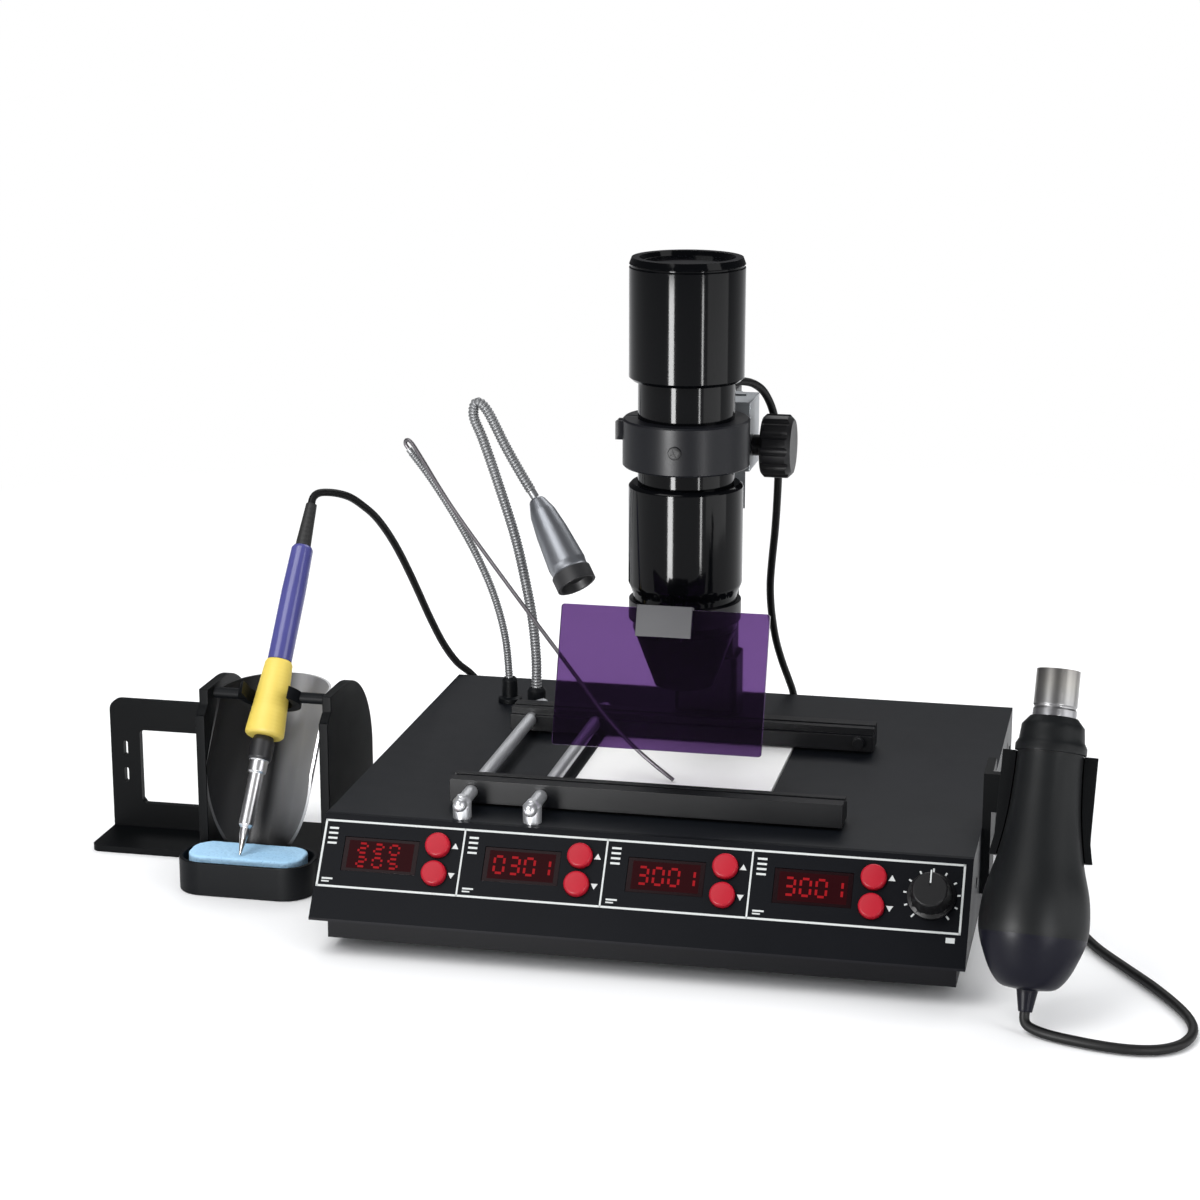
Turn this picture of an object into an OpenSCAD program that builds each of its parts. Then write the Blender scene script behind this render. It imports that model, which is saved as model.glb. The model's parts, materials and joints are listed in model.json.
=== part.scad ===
// BGA rework station: a bench case with a preheating plate, a lamp on a focusing column,
// a board holder, a hot-air gun in its cradle and a soldering iron in its stand. Millimetres.

/* [Case] */
// Width of the case
case_w = 378; // [360:1:420]
// Depth of the flat top
case_d = 302; // [290:1:340]
// Height of the flat top above the bench
top_z = 75; // [72:1:90]
// How far the sloping front reaches forward
slope_run = 37.3; // [30:0.1:45]
// Height that the sloping front drops
slope_drop = 51; // [48:0.5:54]
// Thickness of the case's sheet metal
sheet = 1.5; // [1:0.1:2]
// Thickness of the front panel
panel_t = 2.5; // [2:0.1:3.5]
// Inset of the dark skirt under the case
skirt_inset = 6; // [3:0.5:12]
// Height of the rubber feet
foot_h = 6; // [4:0.5:10]
// Diameter of the rubber feet
foot_d = 18; // [12:1:24]

/* [Front panel] */
// Width that the four control modules leave for the air knob
knob_room = 39.8; // [38:0.1:46]
// Width that a module leaves beside its display window
button_room = 39.3; // [38:0.1:44]
// Height of a display window
window_h = 20.7; // [16:0.1:24]
// Diameter of a push button
button_d = 14.5; // [12:0.1:15]
// Distance between the two buttons of a module
button_pitch = 16.8; // [16.6:0.1:19]
// How far a button stands out of the panel
button_out = 4; // [3:0.1:6]
// Travel of a button
button_travel = 1.5; // [1:0.1:2]
// Diameter of the air knob
knob_d = 25; // [20:0.5:28]
// Height of the air knob
knob_h = 15; // [11:0.5:20]

/* [Heater] */
// Side of the square heating plate
plate_w = 120; // [110:1:130]
// Thickness of the heating plate
plate_t = 6; // [4:0.5:8]
// Depth of the tray under the plate
tray_depth = 32; // [24:1:40]

/* [Board holder] */
// Diameter of the guide rods
rod_d = 8; // [6:0.5:9]
// Distance between the two guide rods
rod_pitch = 42; // [36:1:46]
// Length of the guide rods
rod_length = 210; // [204:1:212]
// Height of the rod axis above the top
rod_lift = 9; // [8.5:0.5:12]
// Length of a clamping rail
rail_length = 233; // [215:1:250]
// Width of a clamping rail
rail_w = 21; // [18:0.5:24]
// Height of a clamping rail
rail_h = 14; // [13:0.5:16]
// Free width between the rails as shown
board_span = 127; // [110:1:130]

/* [Lamp] */
// Diameter of the lamp barrels
barrel_d = 69; // [62:0.5:72]
// Diameter of the neck that the ring grips
neck_d = 58; // [52:0.5:60]
// Wall of the lamp barrels
barrel_wall = 2.5; // [1.5:0.1:4]
// Length of the upper barrel
upper_h = 73; // [60:1:90]
// Length of the lower barrel
lower_h = 69; // [60:1:80]
// Height of the lower barrel's bottom edge
lower_z = 186; // [182:1:200]
// Height of the lens cone under the lamp
cone_h = 36; // [28:1:40]
// Diameter of the mouth of the lens cone
mouth_d = 36; // [30:0.5:44]
// Height of the clamp ring
ring_h = 29; // [24:1:32]
// Wall of the clamp ring
ring_wall = 9; // [7:0.5:11]
// Diameter of the focus knob
focus_d = 39; // [30:0.5:42]
// Thickness of the focus knob
focus_w = 19; // [14:0.5:24]
// Teeth of the focus pinion
pinion_teeth = 18; // [17:1:20]
// Width of the dovetail plate
dovetail_w = 52; // [46:1:56]
// Width of the pedestal
pedestal_w = 40; // [36:1:60]
// Height of the pedestal
pedestal_h = 50; // [40:1:80]

/* [Shield] */
// Width of the eye shield
shield_w = 124; // [110:1:140]
// Length of the eye shield
shield_l = 83; // [70:1:84]
// Thickness of the eye shield
shield_t = 3; // [2:0.1:4]
// Tilt of the eye shield from the vertical
shield_tilt = 19.7; // [10:0.1:30]

/* [Flexible arms] */
// Diameter of the light's flexible arm
light_arm_d = 7; // [4.5:0.1:8]
// Diameter of the sensor's flexible arm
sensor_arm_d = 5.4; // [4:0.1:6]
// Diameter of the sensor wire
sensor_d = 2.6; // [2:0.1:4]
// Length of the work light's head
head_l = 66; // [50:1:80]
// Diameter of the work light's mouth
head_d = 26; // [20:0.5:32]

/* [Hot-air gun] */
// Largest diameter of the gun's body
gun_d = 60; // [52:0.5:62]
// Diameter of the gun's neck
gun_neck_d = 36; // [30:0.5:40]
// Diameter of the air nozzle
nozzle_d = 24; // [18:0.5:26]
// Length of the air nozzle
nozzle_l = 26; // [16:1:36]
// Backward lean of the gun
gun_lean = 21.7; // [18:0.1:26]
// Wall of the gun's cradle
cradle_wall = 4; // [3:0.1:6]

/* [Soldering iron] */
// Backward lean of the iron
iron_lean = 33.4; // [30:0.1:36]
// Diameter of the iron's handle
handle_d = 15.5; // [13:0.1:17]
// Length of the iron's handle
handle_l = 77; // [60:1:90]
// Diameter of the flared end of the grip
grip_d = 24.5; // [20:0.1:26]
// Length of the grip
grip_l = 50; // [40:1:60]

/* [Iron stand] */
// Clear width between the stand's cheeks
stand_w = 74; // [68:1:84]
// Thickness of a cheek
cheek_t = 6; // [4:0.5:8]
// Height of the cheeks
cheek_h = 117; // [110:1:125]
// Depth of the cheeks
cheek_d = 94; // [90:1:110]
// Width of the sponge tray
tray_w = 86; // [76:1:96]
// Depth of the sponge tray
tray_d = 42; // [38:1:46]
// Height of the sponge tray
tray_h = 21; // [16:0.5:23]
// Width of the side frame
frame_w = 82; // [70:1:95]
// Height of the side frame
frame_h = 90; // [75:1:100]

/* [Hidden] */
$fn = 64;

// Clearances: running fit, gap between moving faces, gap of a seated piece
run_fit = 0.05;
move_gap = 0.4;
seat_gap = 0.1;
eps = 0.01;

// Case
ledge_z = top_z - slope_drop;
slope_len = norm([slope_run, slope_drop]);
panel_tilt = atan2(slope_drop, slope_run);
floor_z = foot_h + sheet;
skirt_front = 17;
skirt_back = 4;
foot_inset = 22;
rear_y = case_d;
transformer_at = [case_w / 2 - 69, 190];

// Front panel, measured along the slope from its top edge
first_module = -case_w / 2 + 1;
module_pitch = (case_w - 1 - knob_room) / 4;
module_x = [for (i = [0:3]) first_module + i * module_pitch];
window_w = module_pitch - button_room;
window_x = (module_pitch - 12.9) / 2;
button_x = module_pitch - 14.9;
row_s = 23.3;
window_lip = 2;
window_lip_t = 1.2;
knob_x = case_w / 2 - 21.7;
shaft_d = 6;
board_gap = 13;
board_t = 1.6;
board_top = 7;
board_h = 33;
stud_d = 5;
switch_h = 4;
flange_over = 0.8;
flange_t = 1;
pot_d = 17;
pot_h = 8;
rocker_w = 19;
rocker_h = 12;
rocker_play = 1;
rocker_pin = 3;
rocker_turn = 8;
rocker_deep = 3;
rocker_x = 118;
inlet_w = 27;
inlet_h = 20;
inlet_x = 82;
rear_row_z = (ledge_z + top_z) / 2;

// Heater, under the lamp
work_y = 130;
plate_gap = 1;
plate_ledge = 4;
plate_top = top_z + 1;
tray_wall = 5;
tray_flange = 7;

// Board holder
rod_x = [-109, -109 + rod_pitch];
rod_y = 4;
rod_z = top_z + rod_lift;
post_d = 11;
post_in = 6;
rail_room = 0.5;
rail_x = -122;
rail_z = top_z + 2;
rail_step = 4;
stud_x = 102;
rail_stud_d = 7;
rail_stud_l = 4;

// Lamp on its focusing slide
barrel_r = barrel_d / 2;
neck_r = neck_d / 2;
lower_top = lower_z + lower_h;
upper_z = lower_top + 62;
ring_z = lower_top + 10;
ring_r = neck_r + seat_gap + ring_wall;
foot_r = barrel_r - 3;
barrel_roof = 8;
cone_top = lower_z - 21;
cone_z = cone_top - cone_h;
lens_t = 3;
carriage_front = work_y + ring_r + 1.9;
slide_y = carriage_front + 22;
dovetail_t = 10;
dovetail_in = 4;
dovetail_neck = 17;
column_gap = 4;
rack_z = ring_z - 39;
rack_h = 72;
gear_module = 0.8;
pitch_r = gear_module * pinion_teeth / 2;
addendum = 0.75;
dedendum = 1;
backlash = 0.12;
rack_w = 12;
rack_pitch_y = slide_y - 3;
pinion_y = rack_pitch_y - pitch_r;
pinion_z = ring_z + 3.5;
pinion_x = 22;
carriage_z = ring_z - 11;
carriage_h = ring_h + 14;
carriage_wing = 6;
column_y = slide_y + dovetail_t + column_gap;
column_w = 34;
column_d = 26;
column_foot = 6;
hub_d = 13;
hub_l = 6;
lamp_gland_r = 40;
lamp_gland_z = upper_z - 8;
rear_rail_y = column_y - column_foot - rail_room - rail_w;
front_rail_y = rear_rail_y - board_span;

// Shield, hung in front of the lamp
pivot_y = 74.5;
pivot_z = lower_z - 3;
clip_set = 7;
clip_top = 6;
pivot_d = 4;
clip_w = 33;
clip_t = 1.5;
clip_h = 17;
band_t = 2.5;
band_h = 12;
arm_w = 14;
knuckle_w = 10;
lug_t = 3;

// Flexible arms: their routes are drawn for a top at this height and a left side at this place
drawn_top = 75;
drawn_left = -189;
arm_shift = -case_w / 2 - drawn_left;
arm_seat = 1.2;
light_foot = [-116 + arm_shift, 226];
sensor_foot = [-139 + arm_shift, 246];
socket_h = 17;
socket_wall = 2.5;
light_head_at = [-116.6, 228, 217.5];
light_head_dir = [34.4, -28, -51.1];
head_gap = 1.6;

// Gun: its foot, its turn about the bench and the stations of its outline
gun_foot = [case_w / 2 + 35, -55, 20];
gun_side = 2.4;
gun_seat = 131;
gun_shoulder = 23;
cradle_l = 62;
cradle_r = 26;
cradle_y = 84;
bracket_t = 5;

// Iron: the point of its tip and its turn
stand_x = -case_w / 2 - 68.5;
iron_point = [stand_x - 5.5, 55, 0];
iron_side = 3;
sleeve_d = 9;
sleeve_end = 60;
nut_l = 14;
nut_d = 15;
grip_at = sleeve_end + nut_l + 2;
handle_at = grip_at + grip_l;
relief_l = 29;
relief_d = 7;
grip_lip = 4;
grip_step = 1;

// Stand
cheek_y = 86;
cheek_straight = 58;
stand_plate_t = 4;
tray_x = stand_x - 3.5;
tray_y = cheek_y - tray_d;
tray_wall_t = 2.5;
tray_corner = 18;
sponge_top = tray_h + 2.4;
sponge_gap = 3.5;
tip_z = sponge_top + 0.8;
ring_at = grip_at + 22;
ring_in = 29;
ring_out = 40;
ring_t = 8;
guard_r = 35;
guard_t = 1.5;
guard_edge = 1;
frame_x = stand_x - stand_w / 2 - cheek_t - frame_w;
frame_y = 148;
frame_t = 5;
frame_bar = 20;
frame_foot = 46;

// Cords
lamp_cord_d = 5;
iron_cord_d = 5;
gun_cord_d = 5.6;
gland_d = 11;
gland_l = 14;
elbow_l = 16.5;
lamp_gland_x = 42;
iron_gland_x = -178;
gun_gland_x = 150;
gland_z = 42;

// Routes of the cords, chosen by hand
lamp_route = [
  [20.2, 165, 309], [22.6, 169.1, 309.2], [26.5, 175, 309], [32, 184, 306], [37, 194, 299], [41, 203, 286], [43, 210, 268],
  [43, 216, 246], [41, 226, 223], [38.5, 236, 202], [35.5, 246, 182], [33, 256, 163], [32, 266, 147],
  [32, 276, 132], [33, 286, 116], [35.5, 296, 100], [38.5, 305, 86], [41, 311, 75], [42, 313, 66.5],
  [42, 313, 58.4]
];
iron_route = [
  [-252.9, 183, 218], [-252.6, 185.2, 221.3], [-250, 189.5, 223.6], [-245, 195.5, 223],
  [-239.5, 203, 220.5], [-235, 211, 216.5], [-230, 220, 209.5], [-225, 230, 200.5],
  [-220.5, 241, 188], [-216.5, 252, 173.5], [-212.5, 263, 156.5], [-208.5, 274, 138],
  [-204, 285, 118], [-198, 296, 97.5], [-191, 304, 83], [-184, 309.5, 75], [-179.5, 312.5, 68.5],
  [-178, 313, 63], [-178, 313, 58.5]
];
gun_route = [
  [223.6, -58.9, 10.2], [223.6, -60.6, 6.6], [227, -63.8, 4], [237, -69.5, 3.2], [252, -75, 3.2],
  [268, -79, 3.2], [284, -80, 3.2], [298, -76, 3.2], [308, -66, 3.2], [313, -50, 3.2],
  [311, -32, 3.2], [303, -12, 3.2], [290, 12, 3.2], [274, 37, 3.2], [259, 61, 3.2], [249, 82, 3.2],
  [240, 104, 3.2], [228, 125, 3.2], [218, 150, 3.2], [213, 180, 3.2], [212, 215, 3.2], [213, 250, 3.2],
  [214, 282, 3.2], [212, 305, 3.2], [205, 325, 4], [190, 340, 9], [172, 345, 20], [158, 338, 33],
  [151, 327, 41], [150, 321, 42],
  [150, 316.4, 42]
];
light_route = [
  [-116, 226, 75], [-116, 226, 96], [-116.2, 226.3, 110], [-118.2, 227, 132], [-122, 227, 155], [-130, 228, 190],
  [-142, 228, 228], [-151, 228, 254], [-157, 228, 269], [-155, 228, 278], [-148, 228, 273],
  [-136, 228, 250], [-125, 228, 231], [-116.6, 228, 217.5]
];
sensor_route = [
  [-139, 246, 75], [-139.5, 246, 92], [-142, 246, 118], [-149, 246, 145], [-160, 246, 171],
  [-175, 246, 198], [-192, 246, 224], [-206, 246, 242]
];
probe_route = [
  [-206.2, 246, 243.5], [-208, 245.6, 246.4], [-207.2, 244.8, 249.2], [-203.5, 243, 248.4],
  [-196, 239.5, 239.5], [-171, 226, 209], [-124, 192, 166], [-70, 139, 127], [-46, 116, 109],
  [-22, 102, 92], [0, 96, 77.6]
];

// The origin is under the middle of the object's own box
reach_left = frame_x;
reach_right = gun_foot[0] + gun_d / 2 + 1.57;
reach_front = gun_foot[1] - 16.58;
reach_back = rear_y + elbow_l;
to_origin = [-(reach_left + reach_right) / 2, -(reach_front + reach_back) / 2, 0];

// Curves and sweeps
function unit(v) = v / norm(v);
function at(p, i) = p[max(0, min(i, len(p) - 1))];
function bend(p, i, t) =
  let (a = at(p, i - 1), b = at(p, i), c = at(p, i + 1), d = at(p, i + 2))
  0.5 * (2 * b + (c - a) * t + (2 * a - 5 * b + 4 * c - d) * t * t + (3 * b - a - 3 * c + d) * t * t * t);
function smooth(p, n) = concat([for (i = [0:len(p) - 2], k = [0:n - 1]) bend(p, i, k / n)], [at(p, len(p))]);
function headings(q) = [for (i = [0:len(q) - 1]) unit(at(q, i + 1) - at(q, i - 1))];
function carried(t, u, i = 0) =
  i >= len(t) ? [] : let (v = unit(u - (u * t[i]) * t[i])) concat([v], carried(t, v, i + 1));

module swept(points, d, sides, steps) {
  q = smooth(points, steps);
  t = headings(q);
  u = carried(t, [0.3, 0.9, 0.2]);
  ring = [for (i = [0:len(q) - 1], k = [0:sides - 1])
    q[i] + d / 2 * (cos(360 * k / sides) * u[i] + sin(360 * k / sides) * cross(t[i], u[i]))];
  last = (len(q) - 1) * sides;
  walls = [for (i = [0:len(q) - 2], k = [0:sides - 1])
    let (a = i * sides + k, b = i * sides + (k + 1) % sides)
    each [[a, a + sides, b + sides], [a, b + sides, b]]];
  ends = [[for (k = [0:sides - 1]) k], [for (k = [sides - 1:-1:0]) last + k]];
  polyhedron(ring, concat(walls, ends), convexity = 8);
}

// Shapes and places used by several pieces
module placed() translate(to_origin) children();
module on_panel() translate([0, 0, top_z]) rotate([panel_tilt, 0, 0]) children();
module along_x(w) translate([-w / 2, 0, 0]) rotate([90, 0, 90]) linear_extrude(w) children();
module on_gun() translate(gun_foot) rotate([-gun_lean, gun_side, 0]) children();
module on_iron() translate(iron_point + [0, 0, tip_z]) rotate([-iron_lean, iron_side, 0]) children();
module on_lamp(z = 0) translate([0, work_y, z]) children();
module box(low, high) translate(low) cube(high - low);
module round_plate(w, d, r, h) linear_extrude(h) rounded(w, d, r);
module rounded(w, d, r) {
  square([w - 2 * r, d], center = true);
  square([w, d - 2 * r], center = true);
  for (x = [-1, 1], y = [-1, 1]) translate([x * (w / 2 - r), y * (d / 2 - r)]) circle(r);
}
module revolve(points) rotate_extrude() polygon(points);
module pin_x(d, x0, x1) translate([x0, 0, 0]) rotate([0, 90, 0]) cylinder(d = d, h = x1 - x0);
module pin_y(d, y0, y1) translate([0, y1, 0]) rotate([90, 0, 0]) cylinder(d = d, h = y1 - y0);

// Case
module base_pan() {
  inner_x = case_w / 2 - skirt_inset;
  front_y = -slope_run + skirt_front;
  back_y = rear_y - skirt_back;
  color("#1b1c1f") difference() {
    union() {
      box([-case_w / 2, -slope_run, ledge_z - sheet], [case_w / 2, rear_y, ledge_z]);
      box([-inner_x, front_y, foot_h], [inner_x, back_y, ledge_z]);
    }
    box([-inner_x + sheet, front_y + sheet, floor_z], [inner_x - sheet, back_y - sheet, ledge_z + 1]);
    for (x = [-150:12:-90], side = [-1, 1])
      translate([side * x, 60, 0]) vent(5, 60, 3 * floor_z);
  }
}

module vent(w, l, h) translate([0, 0, -h / 2]) round_plate(w, l, min(w, l) / 2 - eps, h);

module top_cover() {
  color("#2d3034") difference() {
    along_x(case_w) polygon([[0, top_z], [-slope_run, ledge_z], [rear_y, ledge_z], [rear_y, top_z]]);
    along_x(case_w - 2 * sheet)
      polygon([[-2 * slope_run, 0], [rear_y + 1, 0], [rear_y + 1, top_z - sheet], [-2 * slope_run, top_z - sheet]]);
    on_panel() translate([0, 0, -panel_t - seat_gap])
      box([-case_w, -2 * slope_len, 0], [case_w, slope_len, 2 * slope_len]);
    translate([0, work_y, top_z]) cube([plate_w + 2 * plate_gap, plate_w + 2 * plate_gap, 4 * sheet], center = true);
    for (foot = [light_foot, sensor_foot]) translate([foot[0], foot[1], 0]) cylinder(d = 5, h = 2 * top_z);
    for (y = [150:11:260], side = [-1, 1]) translate([side * case_w / 2, y, rear_row_z])
      rotate([0, 90, 0]) vent(28, 4.4, 4 * sheet);
  }
}

module front_panel() {
  color("#26282c") {
    difference() {
      intersection() {
        on_panel() box([-case_w / 2, -2 * slope_len, -panel_t], [case_w / 2, slope_len, 0]);
        box([-case_w, -2 * slope_run, ledge_z], [case_w, 2 * slope_run, top_z]);
      }
      on_panel() {
        for (x = module_x) {
          translate([x + window_x, -row_s, 0]) cube([window_w, window_h, 3 * panel_t], center = true);
          for (side = [-1, 1]) translate([x + button_x, -row_s + side * button_pitch / 2, -2 * panel_t])
            cylinder(d = button_d + 2 * move_gap, h = 4 * panel_t);
        }
        translate([knob_x, -row_s, -2 * panel_t]) cylinder(d = shaft_d + 2 * move_gap, h = 4 * panel_t);
      }
    }
    on_panel() for (x = module_x, y = [0, 1])
      translate([x + 5, -board_top - 4 - y * (board_h - 8), -board_gap])
        cylinder(d = stud_d, h = board_gap - panel_t);
  }
}

module rear_panel() {
  w = case_w - 2 * sheet - 2 * seat_gap;
  color("#26282c") difference() {
    box([-w / 2, rear_y - sheet, ledge_z], [w / 2, rear_y, top_z - sheet]);
    translate([inlet_x, rear_y, rear_row_z]) cube([inlet_w, 4 * sheet, inlet_h], center = true);
    translate([rocker_x, rear_y, rear_row_z]) cube([
      rocker_w + 2 * (move_gap + rocker_play + seat_gap), 4 * sheet,
      rocker_h + 2 * (move_gap + rocker_play + seat_gap)
    ], center = true);
    for (x = [-120:10:-20]) translate([x, rear_y, rear_row_z]) rotate([90, 0, 0]) vent(4.4, 30, 4 * sheet);
    for (x = [lamp_gland_x, iron_gland_x, gun_gland_x]) translate([x, rear_y, gland_z]) pin_y(gland_d / 2 + 1, -2 * sheet, sheet);
  }
}

module rubber_feet() {
  color("#141414") for (x = [-1, 1], y = [foot_inset, rear_y - foot_inset - 10])
    translate([x * (case_w / 2 - skirt_inset - foot_inset), y, 0])
      revolve([[0, 0], [foot_d / 2 - 1.5, 0], [foot_d / 2, foot_h], [0, foot_h]]);
}

module display_windows() {
  color("#3a0a10") on_panel() for (x = module_x) translate([x + window_x, -row_s, 0]) {
    box([-window_w / 2 + seat_gap, -window_h / 2 + seat_gap, -panel_t],
        [window_w / 2 - seat_gap, window_h / 2 - seat_gap, -0.5]);
    box([-window_w / 2 - window_lip, -window_h / 2 - window_lip, -panel_t - window_lip_t],
        [window_w / 2 + window_lip, window_h / 2 + window_lip, -panel_t]);
  }
}

module control_board() {
  color("#1f5a36") on_panel() {
    difference() {
      union() {
        box([module_x[0] + 2, -board_top - board_h, -board_gap - board_t],
            [knob_x + pot_d / 2, -board_top, -board_gap]);
        for (x = module_x) {
          translate([x + window_x, -row_s, 0])
            box([-window_w / 2, -window_h / 2, -board_gap - eps], [window_w / 2, window_h / 2, -panel_t - window_lip_t]);
          for (side = [-1, 1]) translate([x + button_x, -row_s + side * button_pitch / 2, 0])
            box([-3, -3, -board_gap - eps], [3, 3, -board_gap + switch_h]);
        }
        translate([knob_x, -row_s, -board_gap - eps]) cylinder(d = pot_d, h = pot_h);
      }
      translate([knob_x, -row_s, -board_gap + 1]) cylinder(d = shaft_d + 2 * run_fit, h = board_gap);
    }
  }
}

module transformer() {
  color("#6b5a3c") translate([transformer_at[0], transformer_at[1], floor_z]) {
    box([-30, -25, 0], [30, 25, 3]);
    box([-24, -20, 3 - eps], [24, 20, 44]);
    box([-15, -30, 10], [15, 30, 38]);
  }
}

module mains_inlet() {
  color("#151515") translate([inlet_x, rear_y, rear_row_z]) difference() {
    union() {
      box([-inlet_w / 2 + seat_gap, -22, -inlet_h / 2 + seat_gap], [inlet_w / 2 - seat_gap, eps, inlet_h / 2 - seat_gap]);
      box([-inlet_w / 2 - 5, 0, -inlet_h / 2 - 2], [inlet_w / 2 + 5, 3, inlet_h / 2 + 2]);
    }
    box([-inlet_w / 2 + 3, -16, -inlet_h / 2 + 3], [inlet_w / 2 - 3, 4, inlet_h / 2 - 3]);
  }
  color("#d0d0d0") translate([inlet_x, rear_y - 17, rear_row_z])
    for (x = [-7, 0, 7]) box([x - 1, 0, -2], [x + 1, 12, 2]);
  color("#151515") switch_frame();
}

// Rocker of the mains switch, on the pin of its frame
module power_rocker() {
  half = rocker_w / 2 - 1.2;
  color("#8e1016") translate([rocker_x, rear_y - rocker_deep, rear_row_z]) rotate(-rocker_turn)
    linear_extrude(rocker_h, center = true) difference() {
      polygon([[-half, -4], [half, -4], [half, rocker_deep + 2], [0, rocker_deep + 0.4], [-half, rocker_deep + 2]]);
      circle(d = rocker_pin + 2 * run_fit);
    }
}

module switch_frame() {
  in_w = rocker_w / 2 + move_gap;
  in_h = rocker_h / 2 + move_gap;
  translate([rocker_x, rear_y, rear_row_z]) {
    difference() {
      union() {
        box([-in_w - rocker_play, -12, -in_h - rocker_play], [in_w + rocker_play, eps, in_h + rocker_play]);
        box([-in_w - 3, 0, -in_h - 3], [in_w + 3, 1.5, in_h + 3]);
      }
      box([-in_w, -11, -in_h], [in_w, 3, in_h]);
    }
    translate([0, -rocker_deep, 0]) cylinder(d = rocker_pin, h = 2 * in_h + rocker_play, center = true);
  }
}

// Heater
module heater_tray() {
  inner = plate_w + 2 * plate_gap;
  outer = inner + 2 * tray_wall;
  hole = plate_w - 2 * plate_ledge;
  under = top_z - sheet;
  color("#8a8d90") difference() {
    union() {
      on_lamp(under - sheet) translate([0, 0, sheet / 2])
        cube([outer + 2 * tray_flange, outer + 2 * tray_flange, sheet], center = true);
      on_lamp(under - tray_depth / 2) cube([outer, outer, tray_depth], center = true);
    }
    on_lamp(under) translate([-inner / 2, -inner / 2, plate_top - plate_t - under]) cube([inner, inner, tray_depth]);
    on_lamp(under - tray_depth + sheet) translate([-hole / 2, -hole / 2, 0]) cube([hole, hole, 2 * tray_depth]);
  }
}

module heater_plate() {
  color("#f2f2ee") on_lamp(plate_top - plate_t) round_plate(plate_w, plate_w, 2, plate_t);
}

// Board holder
module guide_rods() {
  color("#d9dcdf") for (x = rod_x) translate([x, rod_y, rod_z]) {
    pin_y(rod_d, 0, rod_length);
    for (y = [0, rod_length]) translate([0, y, 0]) sphere(d = rod_d);
    for (y = [post_in, rod_length - post_in]) translate([0, y, -rod_lift])
      revolve([[0, 0], [post_d / 2, 0], [post_d / 2, rod_lift + 1], [post_d / 2 - 3, rod_lift + 4.6], [0, rod_lift + 4.6]]);
  }
}

module rail(inward) {
  difference() {
    translate([rail_x, 0, rail_z]) rotate([90, 0, 90]) linear_extrude(rail_length) {
      difference() {
        square([rail_w, rail_h]);
        translate([inward > 0 ? rail_w - rail_step : -eps, rail_h - rail_step]) square([rail_step + eps, rail_step + eps]);
        translate([rail_w / 2 - 1.5, rail_h - 1.5]) square([3, 2]);
      }
    }
    for (x = rod_x) translate([x, 0, rod_z]) pin_y(rod_d + 2 * run_fit, -1, rail_w + 1);
  }
  translate([stud_x, inward > 0 ? rail_w - eps : -rail_stud_l, rail_z + rail_h / 2 - 1])
    pin_y(rail_stud_d, 0, rail_stud_l + eps);
}

module front_rail() {
  color("#1a1b1d") translate([0, front_rail_y - rail_w, 0]) rail(1);
}

module rear_rail() {
  color("#1a1b1d") translate([0, rear_rail_y, 0]) rail(-1);
}

// Column and focusing slide
module lamp_column() {
  top = rack_z + rack_h;
  color("#222326") translate([0, column_y, 0]) {
    translate([0, column_d / 2, top_z]) round_plate(pedestal_w + 8, column_d + 2 * column_foot, 4, 4);
    translate([0, column_d / 2, top_z + 4 - eps]) round_plate(pedestal_w, column_d + 4, 4, pedestal_h - 4 + eps);
    translate([0, column_d / 2, top_z]) round_plate(column_w, column_d, 3, top - top_z);
  }
}

module dovetail(grow) {
  half = dovetail_w / 2 + grow;
  polygon([
    [-half, -grow], [half, -grow], [half - dovetail_in, dovetail_t + grow],
    [-half + dovetail_in, dovetail_t + grow]
  ]);
}

// A rack tooth points away from the plate, towards -Y
module rack_teeth() {
  p = PI * gear_module;
  half = p / 4 - backlash / 2;
  slant = tan(20);
  tip = half - addendum * gear_module * slant;
  foot = half + dedendum * gear_module * slant;
  count = floor((rack_h - 4) / p / 2);
  for (i = [-count:count]) translate([0, 0, pinion_z + i * p])
    rotate([90, 0, 90]) linear_extrude(rack_w, center = true)
      polygon([
        [rack_pitch_y - addendum * gear_module, -tip], [rack_pitch_y - addendum * gear_module, tip],
        [rack_pitch_y + dedendum * gear_module + eps, foot], [rack_pitch_y + dedendum * gear_module + eps, -foot]
      ]);
}

module rack_plate() {
  color("#9a9ea3") {
    translate([0, slide_y, rack_z]) linear_extrude(rack_h) {
      dovetail(0);
      translate([-dovetail_neck, dovetail_t - eps]) square([2 * dovetail_neck, column_gap + eps]);
    }
    box([-rack_w / 2, rack_pitch_y + dedendum * gear_module, rack_z + 2],
        [rack_w / 2, slide_y + eps, rack_z + rack_h - 2]);
    intersection() {
      rack_teeth();
      box([-rack_w, 0, rack_z + 2], [rack_w, 2 * slide_y, rack_z + rack_h - 2]);
    }
  }
}

module lamp_carriage() {
  half = dovetail_w / 2 + carriage_wing;
  back = slide_y + dovetail_t + column_gap - move_gap;
  hollow = pitch_r + addendum * gear_module + move_gap;
  color("#1d1e20") difference() {
    box([-half, carriage_front, carriage_z], [half, back, carriage_z + carriage_h]);
    translate([0, slide_y, carriage_z - 1]) linear_extrude(carriage_h + 2) {
      dovetail(seat_gap);
      translate([-dovetail_neck - move_gap, 0]) square([2 * (dovetail_neck + move_gap), 2 * dovetail_t]);
      translate([-rack_w / 2 - move_gap, rack_pitch_y - slide_y - move_gap - addendum * gear_module])
        square([rack_w + 2 * move_gap, dovetail_t]);
    }
    translate([0, pinion_y, pinion_z]) {
      pin_x(2 * hollow, -rack_w / 2 - move_gap, rack_w / 2 + move_gap);
      pin_x(shaft_d + 2 * run_fit, -pinion_x - move_gap, half + 1);
    }
  }
}

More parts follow.
